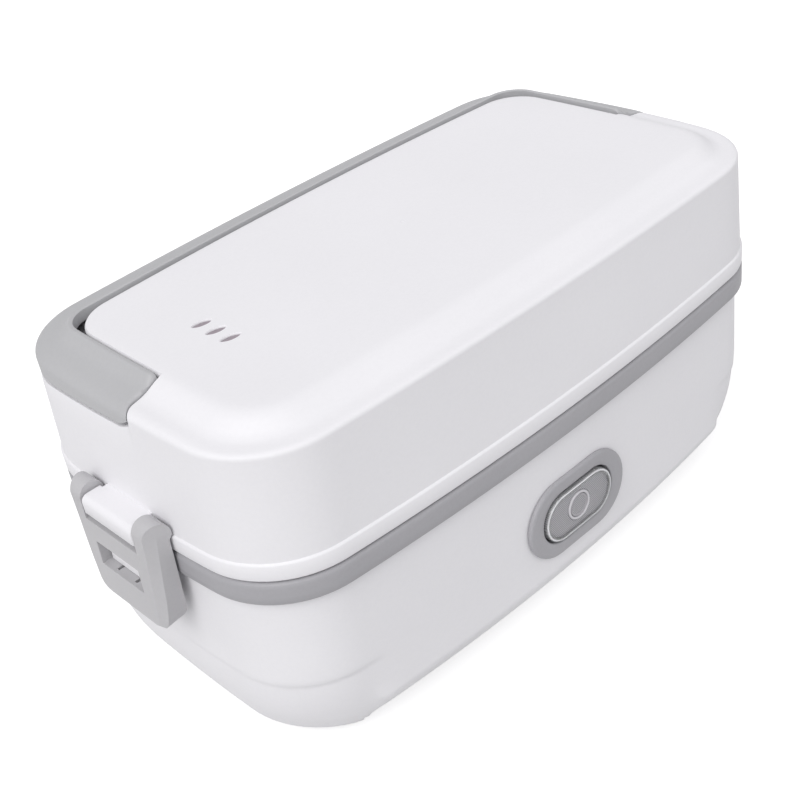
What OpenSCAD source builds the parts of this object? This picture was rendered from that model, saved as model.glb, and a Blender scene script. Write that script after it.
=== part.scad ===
// Electric lunch box: a heated base with an inlet and a push button, a stainless container with
// its cover, an upper tray, and a tall lid that two end latches hold down and a bail handle carries.
// Millimetres. X runs along the length, the button faces -Y, Z is up. The origin is on the
// ground, under the middle of the box.

/* [Outer form] */
// Length over the middles of the two ends, at the rim
rim_l = 230; // [215:1:245]
// Depth over the middles of the two long sides, at the rim
rim_w = 128.4; // [120:0.2:138]
// Corner radius at the rim
rim_r = 29; // [25:0.5:32]
// How far the long sides bow out
side_bow = 7; // [5:0.5:9]
// How far the ends bow out
end_bow = 5.5; // [4:0.5:7]
// Height of the base, from its underside to the rim plane
base_h = 74.7; // [72:0.1:80]
// Height of the lid, from the rim plane to its flat top
lid_h = 44.7; // [43:0.1:50]
// Height that the rubber feet stand proud
foot_proud = 0.9; // [0.6:0.1:1.6]

/* [Base] */
// Height of the grey band
band_h = 7.8; // [6:0.1:9]
// Radial width of the grey band
band_t = 5.5; // [5:0.1:6]
// How far the base wall stands in from the band
base_inset = 2.2; // [1.6:0.1:2.8]
// Wall of the base shell
base_wall = 2.4; // [2:0.1:2.8]
// How far the ends draw in from the wall to the underside
under_end = 11.1; // [10:0.1:12]
// How far the corners draw in from the wall to the underside
under_corner = 8.2; // [7.4:0.1:9]
// How far the long sides draw in from the wall to the underside
under_side = 12.6; // [11.6:0.1:13.4]
// Corner radius of the underside
under_r = 33.7; // [31:0.1:35]
// Depth below the rim where the corners start to curve under
corner_turn = 36; // [34:0.5:40]
// Depth below the rim where the long sides start to draw in
side_turn = 57.4; // [55:0.2:60]
// Thickness of the bottom cover
cover_t = 2.2; // [1.8:0.1:2.6]

/* [Lid] */
// Wall of the lid
lid_wall = 2.3; // [2:0.1:2.6]
// Height of the plain flange round the foot of the lid
flange_h = 6; // [5:0.1:7]
// How far the crease of the shoulder stands in from the rim
crease_inset = 2.7; // [2.2:0.1:3.2]
// How far the ends of the flat top stand in from the rim
top_in_l = 17.5; // [16.5:0.1:19]
// How far the long sides of the flat top stand in from the rim
top_in_w = 17.8; // [17:0.1:19]
// How far the flat top lies towards the front
top_shift = 1.8; // [1:0.1:2.4]
// Length of one vent slot
vent_l = 6.2; // [5:0.1:7]
// Width of one vent slot
vent_w = 2.9; // [2.4:0.1:3.4]
// Pitch of the vent slots
vent_pitch = 6.7; // [6:0.1:7.5]

/* [Handle] */
// Height of the handle's inner edge above the flat top
handle_rise = 0.8; // [0.5:0.1:1.2]
// Distance of the swing axis in front of the middle
swing_y = 3; // [2.6:0.1:4]
// Radius of the handle's moulded pivot stubs
stub_r = 1.3; // [1:0.05:1.4]
// How far the arm ends reach in front of the middle
arm_end = 9.1; // [8.6:0.1:9.6]
// How far the arm ends slant back towards their inner edge
arm_slant = 2.6; // [2:0.1:3]
// Depth of the handle's lower edge under the flat top, along the back
flap_drop = 11.2; // [10.6:0.1:11.8]
// How much that edge climbs along the arms
flap_climb = 2.4; // [2:0.1:2.8]

/* [Latches] */
// Distance of a latch pivot out from the end of the rim
pivot_out = 3.6; // [3.4:0.1:4.2]
// Height of a latch pivot above the rim
pivot_up = 8.2; // [7.8:0.1:8.6]
// Radius of a latch pin
pin_r = 1.25; // [1:0.05:1.4]
// Half width of the lug between the ears
lug_half = 12.4; // [11:0.1:13]
// Depth of a latch, from its pivot down to its lower edge
latch_drop = 33.7; // [32:0.1:36]
// Width of the window in a latch
window_w = 21.2; // [20:0.2:22]

/* [Button and inlet] */
// Width of the button bezel
bezel_w = 45; // [44:0.2:48]
// Height of the button bezel
bezel_h = 27.6; // [26:0.2:29]
// Width of the clear button
button_w = 32; // [30:0.2:32.4]
// Height of the clear button
button_h = 17.7; // [17:0.1:18]
// Travel of the button
button_travel = 1.2; // [0.8:0.1:1.3]
// Depth of the button and inlet centres below the rim
button_depth = 37.2; // [36:0.1:38]
// Radius of an inlet pin
inlet_pin_r = 1.18; // [1:0.02:1.3]
// Spacing of the two inlet pins
inlet_pitch = 8.6; // [8:0.1:9]

/* [Inner parts] */
// Height of the room under the well floor, which holds the heater
heater_room = 14.3; // [13.8:0.1:16]
// Wall of the well
well_wall = 1.7; // [1.5:0.1:2]
// How far the well wall stands in from the rim
well_inset = 14; // [13.6:0.1:14.5]
// Thickness of the container's sheet
sheet_t = 0.8; // [0.6:0.1:1]
// Thickness of the heating plate
plate_t = 2.2; // [1.8:0.1:2.4]
// Length of the heating plate
plate_l = 140; // [130:1:146]
// Width of the heating plate
plate_w = 58; // [54:1:60]
// Wall of the upper tray
tray_wall = 1.6; // [1.4:0.1:2]
// Gap between the upper tray and the lid's liner
tray_clear = 1.2; // [1:0.1:4]
// Diameter of the leads
lead_d = 1.8; // [1.4:0.1:2]

/* [Hidden] */
$fn = 48;

// Small gaps between pieces
gap = 0.3;
flat_gap = 0.25;
fit_gap = 0.05;
slip_gap = 0.06;

// Colours
white = [0.93, 0.93, 0.94];
grey = [0.68, 0.68, 0.69];
steel = [0.78, 0.79, 0.80];

// Heights above the ground
rim_z = foot_proud + base_h;
under_z = foot_proud;
cover_top = under_z + cover_t;

// Outlines are [half length, half width, bow of the long sides, bow of the ends, corner radius]
rim = [rim_l/2, rim_w/2, side_bow, end_bow, rim_r];
crease = [rim[0] - crease_inset, rim[1] - crease_inset, side_bow*0.56, end_bow*0.6, rim_r*0.95];
top_half_l = rim[0] - top_in_l;
flat_top = [top_half_l, rim[1] - top_in_w, side_bow*0.5, end_bow*0.2, 14];

// Stations round an outline: by distance from the middle on the ends, by share elsewhere
step_in = arm_end + 0.3;
step_out = arm_end + 0.45;
mid_station = 4;
end_stations = [0, mid_station, step_in, step_out];
corner_steps = 8;
long_shares = [1, 0.94, 0.6, 0.3, 0];

function arc_radius(half, bow) = (half*half + bow*bow)/(2*bow);
function mix(a, b, t) = a + (b - a)*t;
function clamp01(t) = min(1, max(0, t));
function smooth(t) = let (s = clamp01(t)) s*s*(3 - 2*s);
function inset(o, d) = [o[0] - d, o[1] - d, o[2], o[3], max(1, o[4] - d)];

// A quarter of a bowed, round-cornered outline, from the middle of the end to the middle of the side
function quarter(o, ends) =
    let (rl = arc_radius(o[0], o[2]), re = arc_radius(o[1], o[3]),
         c1 = [0, o[1] - rl], c2 = [o[0] - re, 0],
         k1 = rl - o[4], k2 = re - o[4],
         d = norm(c2 - c1), u = (c2 - c1)/d,
         a = (k1*k1 - k2*k2 + d*d)/(2*d), h = sqrt(k1*k1 - a*a),
         c = c1 + a*u + h*[u[1], -u[0]],
         a1 = atan2(c[1] - c1[1], c[0] - c1[0]),
         a2 = atan2(c[1] - c2[1], c[0] - c2[0]),
         yt = re*sin(a2), xt = rl*cos(a1), y0 = ends[len(ends) - 1])
    concat(
        [for (y = concat(ends, [mix(y0, yt, 0.5), yt]))
            let (t = asin(y/re)) c2 + re*[cos(t), sin(t)]],
        [for (i = [1:corner_steps - 1])
            let (t = mix(a2, a1, i/corner_steps)) c + o[4]*[cos(t), sin(t)]],
        [for (f = long_shares) let (t = acos(f*xt/rl)) c1 + rl*[cos(t), sin(t)]]);

// The whole outline, counter-clockwise from the middle of the right end
function whole(front, back) = concat(
    back,
    [for (i = [len(back) - 2:-1:0]) [-back[i][0], back[i][1]]],
    [for (i = [1:len(front) - 1]) [-front[i][0], -front[i][1]]],
    [for (i = [len(front) - 2:-1:1]) [front[i][0], -front[i][1]]]);
function ring(o) = let (q = quarter(o, end_stations)) whole(q, q);
function at(points, z) = [for (p = points) [p[0], p[1], z]];

// Stations in front of the middle draw back, as the arm ends slant towards their inner edge
function slanted(share) = [for (y = end_stations)
    y - share*arm_slant*clamp01((y - mid_station)/(arm_end - mid_station))];

// The flat top lies nearer the front, and its end stations stay in line with the others
function shift_ends(stations, s) = [for (y = stations) y == 0 ? 0 : y + s];
function top_ring(d) =
    let (o = inset(flat_top, d),
         w = whole(quarter(o, shift_ends(slanted(1), -top_shift)), quarter(o, shift_ends(end_stations, top_shift))))
    [for (p = w) [p[0], p[1] - top_shift]];

// A solid through rows of points; the rows run from the outer top down and up again inside
module loft(rows, joined = false, cap = []) {
    n = len(rows[0]);
    m = len(rows);
    last = joined ? m - 1 : m - 2;
    sides = [for (j = [0:last], i = [0:n - 1], k = [0, 1])
        let (b = (j + 1) % m, i2 = (i + 1) % n)
        k == 0 ? [j*n + i, j*n + i2, b*n + i2] : [j*n + i, b*n + i2, b*n + i]];
    end_faces = len(cap) > 0 ? cap : [[for (i = [0:n - 1]) i]];
    caps = joined ? [] : concat([for (f = end_faces) [for (k = [len(f) - 1:-1:0]) f[k]]],
        [for (f = end_faces) [for (i = f) (m - 1)*n + i]]);
    polyhedron(points = [for (r = rows, p = r) p], faces = concat(sides, caps));
}

module plate(o, z, t) {
    translate([0, 0, z]) linear_extrude(t) polygon(ring(o));
}

module frame_ring(o, t, z, h) {
    translate([0, 0, z]) linear_extrude(h) difference() {
        polygon(ring(o));
        polygon(ring(inset(o, t)));
    }
}

module stadium(w, h) {
    square([w - h, h], center = true);
    for (s = [-1, 1]) translate([s*(w - h)/2, 0]) circle(d = h);
}

// Extrudes a profile drawn in X and Z towards the front, from y back to y + t
module along_y(y, t) {
    translate([0, y + t, 0]) rotate([90, 0, 0]) linear_extrude(t) children();
}

module both_ends() {
    children();
    mirror([1, 0, 0]) children();
}

module four(x, y) {
    for (sx = [-1, 1], sy = [-1, 1]) translate([sx*x, sy*y, 0]) children();
}

// A round tube along a route, for the leads
function tube_ring(p, dir, r, sides) =
    let (d = dir/norm(dir), a = abs(d[2]) < 0.9 ? [0, 0, 1] : [1, 0, 0],
         e1 = cross(a, d)/norm(cross(a, d)), e2 = cross(d, e1))
    [for (i = [sides - 1:-1:0]) let (t = 360*i/sides) p + r*(cos(t)*e1 + sin(t)*e2)];
module tube(route, r, sides = 8) {
    n = len(route) - 1;
    loft([for (i = [0:n])
        tube_ring(route[i], route[min(n, i + 1)] - route[max(0, i - 1)], r, sides)]);
}

// Rounds the inner corners of a route, leaving each end straight
function round_route(p, r) = concat([p[0]],
    [for (i = [1:len(p) - 2], t = [0, 0.5, 1])
        let (a = p[i] + r*(p[i - 1] - p[i])/norm(p[i - 1] - p[i]),
             b = p[i] + r*(p[i + 1] - p[i])/norm(p[i + 1] - p[i]))
        mix(mix(a, p[i], t), mix(p[i], b, t), t)],
    [p[len(p) - 1]]);

// Base shell: the long sides stay upright further down than the corners, which start with a crease
corner_x = ring(rim)[len(end_stations) + 1 + corner_steps][0];
side_weight = [for (p = ring(rim)) abs(p[0]) < 0.97*corner_x ? 1 : 0];
crease_depth = corner_turn + 5;
crease_step = 0.3;
function share(depth, start) = clamp01((depth - start)/(base_h - start));
function base_ring(depth, d) =
    let (t = share(depth, corner_turn), curve = pow(t, 2.8), step = depth > crease_depth ? crease_step : 0,
         end = base_inset + under_end*curve + step/2,
         corner = base_inset + under_corner*curve + step,
         side = base_inset + under_side*pow(share(depth, side_turn), 1.37),
         bows = [side_bow*mix(1, 1.14, t), end_bow*mix(1, 0.15, t)],
         r = mix(rim_r - base_inset, under_r, t) - d,
         c = ring([rim[0] - end - d, rim[1] - corner - d, bows[0], bows[1], r]),
         s = ring([rim[0] - end - d, rim[1] - side - d, bows[0], bows[1], r]))
    [for (i = [0:len(c) - 1]) mix(c[i], s[i], side_weight[i])];

rebate_w = base_wall/2;
rebate_h = 1.6;
foot_round = 1;
outer_depths = [band_h, corner_turn, crease_depth, crease_depth + 0.4, crease_depth + 6, side_turn - 4,
    side_turn, mix(side_turn, base_h, 0.25), mix(side_turn, base_h, 0.5), mix(side_turn, base_h, 0.75),
    base_h - foot_round];
inner_depths = [corner_turn, crease_depth + 6, side_turn - 1, mix(side_turn, base_h, 0.4), base_h - 5];
inner_lift = 1.3;
opening = [rim[0] - base_inset - under_end - 6.2, rim[1] - base_inset - under_side - 4.7,
    side_bow, end_bow/2, under_r - 14.7];
ledge_w = 3;
ledge_t = 1.1;

module base_body() {
    outer = [for (d = outer_depths) at(base_ring(d, 0), rim_z - d)];
    mouth = [at(base_ring(base_h, foot_round), under_z), at(ring(opening), under_z),
        at(ring(opening), under_z + ledge_t), at(ring(inset(opening, ledge_w)), under_z + ledge_t),
        at(ring(inset(opening, ledge_w)), cover_top)];
    inner = [for (i = [len(inner_depths) - 1:-1:0])
        at(base_ring(inner_depths[i], base_wall), rim_z - inner_depths[i] + inner_lift)];
    lip = [at(base_ring(band_h, base_wall), rim_z - band_h - rebate_h),
        at(base_ring(band_h, rebate_w), rim_z - band_h - rebate_h),
        at(base_ring(band_h, rebate_w), rim_z - band_h)];
    loft(concat(outer, mouth, inner, lip), true);
}

// The catch that a latch hooks under, on each end of the base
window_top = -5.2;
window_low = -13.4;
catch_front = rim[0] + 5.2;
catch_half = window_w/2 - 1;
module catch_block() {
    low = rim_z + window_low + flat_gap;
    high = rim_z - band_h - 0.4;
    x0 = rim[0] - base_inset - rebate_w + 0.1;
    along_y(-catch_half, 2*catch_half) polygon([[x0, low], [catch_front, low],
        [catch_front, low + 2.6], [catch_front - 2.6, high], [x0, high]]);
}

button_z = rim_z - button_depth;
wall_y = rim[1] - base_inset;
barrel_w = bezel_w - 5.4;
barrel_h = bezel_h - 6;
inlet_w = 22;
inlet_h = 13;

module base_shell() color(white) {
    difference() {
        union() {
            base_body();
            both_ends() catch_block();
        }
        along_y(-wall_y - 3, base_wall + 6)
            translate([0, button_z]) stadium(barrel_w + 2*flat_gap, barrel_h + 2*flat_gap);
        along_y(wall_y - base_wall - 3, base_wall + 6)
            translate([0, button_z]) square([inlet_w + 2*flat_gap, inlet_h + 2*flat_gap], center = true);
    }
}

module rim_band() color(grey) {
    bevel = 0.9;
    top = rim_z - flat_gap;
    loft([at(ring(inset(rim, bevel)), top), at(ring(rim), top - bevel),
        at(ring(rim), rim_z - band_h + 0.4), at(ring(inset(rim, 0.4)), rim_z - band_h),
        at(ring(inset(rim, band_t)), rim_z - band_h), at(ring(inset(rim, band_t)), top)], true);
}

// The well that the container stands in
well_rim = inset(rim, band_t + gap);
well_floor_z = under_z + heater_room;
boss_x = 56;
boss_y = 30;
module well_body() {
    rim_t = 1.4;
    flange_w = band_t + gap - base_inset - rebate_w - gap;
    top = rim_z - 0.6;
    flange_top = rim_z - band_h - flat_gap;
    flange_low = rim_z - band_h - rebate_h + flat_gap;
    outer = inset(rim, well_inset);
    bore = inset(outer, well_wall);
    loft([
        at(ring(inset(bore, 7)), well_floor_z),
        at(ring(inset(bore, 3)), well_floor_z + 3),
        at(ring(inset(bore, 1.2)), well_floor_z + 9),
        at(ring(bore), rim_z - 15.5),
        at(ring(inset(bore, -2)), flange_top - 1.5),
        at(ring(inset(well_rim, rim_t)), flange_top),
        at(ring(inset(well_rim, rim_t)), top),
        at(ring(well_rim), top),
        at(ring(well_rim), flange_top),
        at(ring(inset(well_rim, -flange_w)), flange_top),
        at(ring(inset(well_rim, -flange_w)), flange_low),
        at(ring(inset(outer, -2)), flange_low),
        at(ring(outer), rim_z - 14),
        at(ring(inset(outer, 1.2)), well_floor_z + 8),
        at(ring(inset(outer, 3.4)), well_floor_z + 1.6),
        at(ring(inset(outer, 8)), well_floor_z - well_wall)]);
}

boss_r = 3.5;
screw_r = 1.25;
module inner_well() color([0.86, 0.87, 0.88]) {
    difference() {
        union() {
            well_body();
            four(boss_x, boss_y) translate([0, 0, cover_top])
                cylinder(r = boss_r, h = well_floor_z - well_wall - cover_top + 0.5);
        }
        translate([0, 0, well_floor_z - well_wall - 1])
            linear_extrude(well_wall + 2) square([plate_l - 8, plate_w - 8], center = true);
        four(boss_x, boss_y) translate([0, 0, cover_top - 1])
            cylinder(r = screw_r, h = 9);
    }
}

foot_r = 6;
foot_x = opening[0] - 17.5;
foot_y = opening[1] - 17.7;
foot_sink = 0.6;
head_r = 2.6;
head_h = 1.2;
module bottom_cover() color(white) {
    difference() {
        union() {
            plate(inset(opening, gap), under_z, ledge_t - flat_gap);
            plate(inset(opening, ledge_w + gap), under_z, cover_t);
        }
        four(foot_x, foot_y) translate([0, 0, under_z - 1]) cylinder(r = foot_r + 0.1, h = 1 + foot_sink);
        four(boss_x, boss_y) {
            translate([0, 0, under_z - 1]) cylinder(r = screw_r + 0.15, h = cover_t + 2);
            translate([0, 0, under_z - 1]) cylinder(r = head_r + 0.15, h = 1 + head_h);
        }
    }
}

module feet() color([0.55, 0.55, 0.56]) {
    four(foot_x, foot_y) difference() {
        cylinder(r = foot_r, h = foot_proud + foot_sink);
        translate([0, 0, -1]) cylinder(r = foot_r*0.35, h = 1.4);
    }
}

module cover_screws() color(steel) {
    four(boss_x, boss_y) difference() {
        union() {
            translate([0, 0, under_z + 0.1]) cylinder(r = head_r, h = head_h - 0.1);
            translate([0, 0, under_z + head_h - 0.1]) cylinder(r = screw_r - fit_gap, h = 8);
        }
        translate([0, 0, under_z]) cylinder(r = 1, h = 0.7, $fn = 6);
    }
}

// Button on the front: bezel, clear button, plunger, switch, board and lamps
bezel_back = -(wall_y + fit_gap);
bezel_out = 1.9;
bezel_front = bezel_back - bezel_out;
collar_in = 3.65;
barrel_back = -(wall_y - 6.8);
button_clear = 0.5;
guide_w = button_w + 4;
guide_h = button_h + 2.5;
module front_bezel() color(grey) {
    translate([0, 0, button_z]) difference() {
        union() {
            along_y(bezel_front + 0.4, bezel_out - 0.4) stadium(bezel_w, bezel_h);
            along_y(bezel_front, 0.5) stadium(bezel_w - 0.8, bezel_h - 0.8);
            along_y(bezel_back - 0.1, barrel_back - bezel_back + 0.1) stadium(barrel_w, barrel_h);
        }
        along_y(bezel_front - 1, 8) stadium(button_w + 2*button_clear, button_h + 2*button_clear);
        along_y(bezel_front + collar_in - 0.25, 8) stadium(guide_w, guide_h);
        for (s = [-1, 1]) translate([s*board_screw_x, barrel_back + 1, 0]) rotate([90, 0, 0])
            cylinder(r = board_screw_r + fit_gap, h = 4);
    }
}

button_front = bezel_front - 0.15;
collar_front = bezel_front + collar_in;
collar_back = collar_front + 1.4;
module power_button() color([0.85, 0.87, 0.88, 0.5]) {
    translate([0, 0, button_z]) {
        difference() {
            union() {
                along_y(button_front + 0.5, collar_front - button_front - 0.4) stadium(button_w, button_h);
                along_y(button_front, 0.6) stadium(button_w - 1.4, button_h - 1.4);
                along_y(collar_front, 1.4) stadium(guide_w - 0.7, guide_h - 0.7);
                translate([0, stem_back, 0]) rotate([90, 0, 0]) cylinder(r = 2.5, h = 1.5);
            }
            along_y(button_front - 1, 1.3) difference() {
                circle(r = 5.3);
                circle(r = 4.5);
            }
        }
    }
}

board_front = barrel_back + gap;
board_t = 1.2;
board_w = barrel_w - 2;
board_h = 16;
board_screw_x = (barrel_w + guide_w)/4;
board_screw_r = 0.55;
housing_front = board_front - 1.9;
stem_back = housing_front - button_travel - 0.1;
plunger_r = 1.7;
module switch_plunger() color([0.2, 0.2, 0.2]) {
    translate([0, housing_front + 0.5, button_z]) rotate([90, 0, 0])
        cylinder(r = plunger_r, h = housing_front + 0.5 - stem_back);
}

module tact_switch() color([0.3, 0.3, 0.32]) {
    difference() {
        translate([-3.5, housing_front, button_z - 3.5]) cube([7, board_front - housing_front, 7]);
        translate([0, board_front + 1, button_z]) rotate([90, 0, 0])
            cylinder(r = plunger_r + slip_gap, h = 6);
    }
}

module switch_board() color([0.12, 0.4, 0.2]) {
    difference() {
        translate([-board_w/2, board_front, button_z - board_h/2]) cube([board_w, board_t, board_h]);
        for (s = [-1, 1]) translate([s*board_screw_x, board_front + board_t + 1, button_z])
            rotate([90, 0, 0]) cylinder(r = board_screw_r + 0.1, h = 4);
    }
}

module indicator_leds() color([0.9, 0.3, 0.2]) {
    for (s = [-1, 1]) translate([s*9 - 1.2, board_front - 1.1, button_z - 0.8]) cube([2.4, 1.1, 1.6]);
}

module board_screws() color(steel) {
    for (s = [-1, 1]) translate([s*board_screw_x, 0, button_z]) rotate([90, 0, 0]) {
        translate([0, 0, -board_front - board_t - 0.9]) cylinder(r = 1.3, h = 0.9);
        translate([0, 0, -board_front - board_t - 0.1]) cylinder(r = board_screw_r, h = 4.2);
    }
}

// Two-pin inlet on the back
inlet_face = wall_y + 1.1;
inlet_floor = inlet_face - 9.4;
inlet_back = inlet_floor - 1.3;
module power_inlet() color([0.12, 0.12, 0.13]) {
    translate([0, 0, button_z]) difference() {
        union() {
            along_y(wall_y + fit_gap, 1.05) stadium(27, 17);
            along_y(inlet_back, wall_y + 0.2 - inlet_back) square([inlet_w, inlet_h], center = true);
        }
        along_y(inlet_floor, 12) {
            stadium(inlet_pitch + 7.8, 7.8);
        }
        for (s = [-1, 1]) translate([s*inlet_pitch/2, inlet_floor + 1, 0]) rotate([90, 0, 0])
            cylinder(r = inlet_pin_r + 0.02, h = 5);
    }
}

module inlet_pins() color([0.8, 0.7, 0.4]) {
    for (s = [-1, 1]) translate([s*inlet_pitch/2, inlet_floor + 7.6, button_z])
        rotate([90, 0, 0]) cylinder(r = inlet_pin_r, h = 10.2);
}

// Heating plate, heater and its controls under the well
plate_top = well_floor_z + plate_t;
pad_low = well_floor_z - well_wall - 0.8;
heater_h = 5.2;
module heating_plate() color([0.8, 0.8, 0.82]) {
    difference() {
        union() {
            translate([0, 0, well_floor_z]) linear_extrude(plate_t)
                square([plate_l, plate_w], center = true);
            translate([0, 0, pad_low]) linear_extrude(well_floor_z - pad_low + 0.5)
                square([plate_l - 9, plate_w - 9], center = true);
        }
        for (s = [-1, 1]) translate([s*clamp_x, 0, pad_low - 1]) cylinder(r = 1.2, h = 3.6);
    }
}

heater_l = 60;
clamp_x = heater_l/2 + 7;
heater_w = 26;
module ptc_heater() color([0.75, 0.76, 0.78]) {
    translate([-heater_l/2, -heater_w/2, pad_low - heater_h]) cube([heater_l, heater_w, heater_h]);
    for (s = [-1, 1]) translate([heater_l/2 - 0.1, s*6 - 1.5, pad_low - heater_h/2])
        cube([7, 3, 0.6]);
}

module heater_clamp() color(steel) {
    t = 0.9;
    difference() {
        union() {
            translate([-heater_l/2 - t - 0.2, -5, pad_low - heater_h - t])
                cube([heater_l + 2*t + 0.4, 10, t - 0.1]);
            both_ends() translate([heater_l/2 + 0.2, -5, pad_low - heater_h - t])
                cube([t, 4, heater_h + t]);
            both_ends() translate([heater_l/2 + 0.2, 1, pad_low - heater_h - t])
                cube([t, 4, heater_h + t]);
            both_ends() translate([heater_l/2 + 0.2, -5, pad_low - t])
                cube([clamp_x + 4 - heater_l/2, 4, t]);
            both_ends() translate([heater_l/2 + 0.2, 1, pad_low - t])
                cube([clamp_x + 4 - heater_l/2, 4, t]);
            both_ends() translate([clamp_x - 3, -5, pad_low - t]) cube([7, 10, t]);
        }
        both_ends() translate([clamp_x, 0, pad_low - t - 1]) cylinder(r = 1.4, h = t + 2);
        both_ends() translate([heater_l/2 - 0.4, -7.7, pad_low - heater_h/2 - 0.4]) cube([4, 3.4, 1.4]);
        both_ends() translate([heater_l/2 - 0.4, 4.3, pad_low - heater_h/2 - 0.4]) cube([4, 3.4, 1.4]);
    }
}

module clamp_screws() color(steel) {
    for (s = [-1, 1]) translate([s*clamp_x, 0, 0]) {
        translate([0, 0, pad_low - 0.9 - 1.2]) cylinder(r = 2.4, h = 1.2);
        translate([0, 0, pad_low - 1]) cylinder(r = 1.15, h = 3);
    }
}

thermo_x = -(heater_l/2 + 24);
module thermostat() color([0.85, 0.84, 0.8]) {
    translate([thermo_x, 0, 0]) {
        translate([0, 0, pad_low - 1.2]) cylinder(r = 7.5, h = 1.1);
        translate([0, 0, pad_low - 5]) cylinder(r = 7, h = 4);
        for (s = [-1, 1]) translate([s*4.5 - 1.5, -0.4, pad_low - 7.4]) cube([3, 0.8, 2.6]);
    }
}

fuse_x = heater_l/2 + 22;
fuse_z = pad_low - 2.4;
fuse_half = 6.5;
module thermal_fuse() color([0.85, 0.8, 0.6]) {
    translate([fuse_x, -fuse_half, fuse_z]) rotate([-90, 0, 0]) cylinder(r = 2.1, h = 2*fuse_half);
}

lead_r = lead_d/2;
low_z = pad_low - 6.2;
high_z = low_z + 2.4;
tab_z = pad_low - heater_h/2 + 0.3;
tab_x = heater_l/2 + 7;
cross_x = heater_l/2 + 4;
module fuse_leads() color([0.85, 0.85, 0.8]) {
    tube(round_route([[fuse_x, -fuse_half - 0.1, fuse_z], [fuse_x, -12, fuse_z],
        [fuse_x - 6, -16, fuse_z], [tab_x + 6, -16, tab_z], [tab_x + 4, -6, tab_z], [tab_x, -6, tab_z]], 1.5),
        lead_r/2);
    tube(round_route([[fuse_x, fuse_half + 0.1, fuse_z], [fuse_x, 18, fuse_z], [fuse_x - 8, 22, low_z],
        [20, 22, low_z], [0, 22, high_z], [thermo_x + 12, 18, high_z], [thermo_x + 12, 4, low_z],
        [thermo_x + 10, 0, low_z],
        [thermo_x + 6.05, 0, low_z]], 2), lead_r);
}

cavity_y = wall_y - base_wall - 3.6;
rise_y = cavity_y - 8;
board_y = board_front + board_t + 1.2;
pad_x = 10;
plug_back = inlet_back - 1.3;
module lead_live() color([0.6, 0.2, 0.15]) {
    tube(round_route([[-inlet_pitch/2, plug_back, button_z - 1.5], [-inlet_pitch/2, plug_back, button_z - 9],
        [-16, cavity_y - 3, button_z - 16], [-cross_x - 6, rise_y, well_floor_z],
        [-cross_x - 6, 36, low_z], [-cross_x, 16, low_z], [-cross_x, -20, low_z], [-28, -36, low_z],
        [-24, -rise_y, well_floor_z], [-pad_x, -cavity_y + 2.5, button_z - 18],
        [-pad_x, board_y, button_z - 6], [-pad_x, board_y, button_z - 2]], 2), lead_r);
}

module lead_switched() color([0.6, 0.2, 0.15]) {
    tube(round_route([[pad_x, board_y, button_z - 2], [pad_x, board_y, button_z - 6],
        [pad_x, -cavity_y + 2.5, button_z - 18], [20, -rise_y, well_floor_z], [20, -38, low_z],
        [-16, -30, high_z], [-cross_x - 10, -24, high_z], [thermo_x - 12, -16, low_z],
        [thermo_x - 12, 0, low_z], [thermo_x - 6.05, 0, low_z]], 2), lead_r);
}

module lead_neutral() color([0.2, 0.25, 0.55]) {
    tube(round_route([[inlet_pitch/2, plug_back, button_z - 1.5], [inlet_pitch/2, plug_back, button_z - 9],
        [18, cavity_y - 3, button_z - 16], [cross_x - 4, rise_y, well_floor_z], [cross_x + 4, 38, low_z],
        [cross_x + 10, 32, tab_z], [tab_x + 7, 14, tab_z], [tab_x + 6, 6, tab_z], [tab_x, 6, tab_z]], 2), lead_r);
}

// The handle's lower edge climbs along the arms and rounds up at their ends
climb_start = 36;
nose_start = 4;
flap_nose = 2.2;
ledge_nose = 1.6;
function climb(y, nose) = flap_climb*clamp01((climb_start - y)/(climb_start + arm_end))
    + nose*pow(clamp01((-nose_start - y)/(arm_end - nose_start)), 1.4);

// The line of an arm end curves back between its outer and inner edge
end_hollow = 13;
hollow_fade = 10;
function hollow(u, y) = y > 0 ? 0 : end_hollow*u*pow(1 - u, 2)
    *(-y < step_out + 0.05 ? pow(y/arm_end, 2) : 1 - smooth((-y - step_out)/hollow_fade));

// Lid: wall outline at a height above the rim, and rows that differ under the handle
wall_foot = inset(rim, 0.6);
shoulder_up = lid_h - 7.1;
crease_ring = ring(crease);
flat_ring = top_ring(0);
count = len(crease_ring);
under_handle = [for (p = crease_ring) p[1] > -(step_in + step_out)/2];
function follow_at(i, follow) = under_handle[i] ? follow*climb(crease_ring[i][1], ledge_nose) : 0;
function wall_at(z, d, follow = 0) =
    let (foot = ring(inset(wall_foot, d)), head = ring(inset(crease, d)))
    [for (i = [0:count - 1])
        mix(foot[i], head[i], (z + follow_at(i, follow) - flange_h)/(shoulder_up - flange_h))];
function shoulder(u) = [for (i = [0:count - 1])
    mix(crease_ring[i], flat_ring[i], u) + [0, hollow(u, crease_ring[i][1])]];

// The shoulder is fuller at the ends of the lid than along its sides
full_near = 20;
full_far = 50;
function fuller(i) = smooth((full_far - abs(crease_ring[i][1]))/(full_far - full_near));
function row(front, front_z, back, back_z, rise = 0, follow = 0) = [for (i = [0:count - 1])
    under_handle[i] ? [back[i][0], back[i][1], rim_z + back_z + follow_at(i, follow)]
        : [front[i][0], front[i][1], rim_z + front_z + rise*fuller(i)]];
function level(points, z) = row(points, z, points, z);

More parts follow.
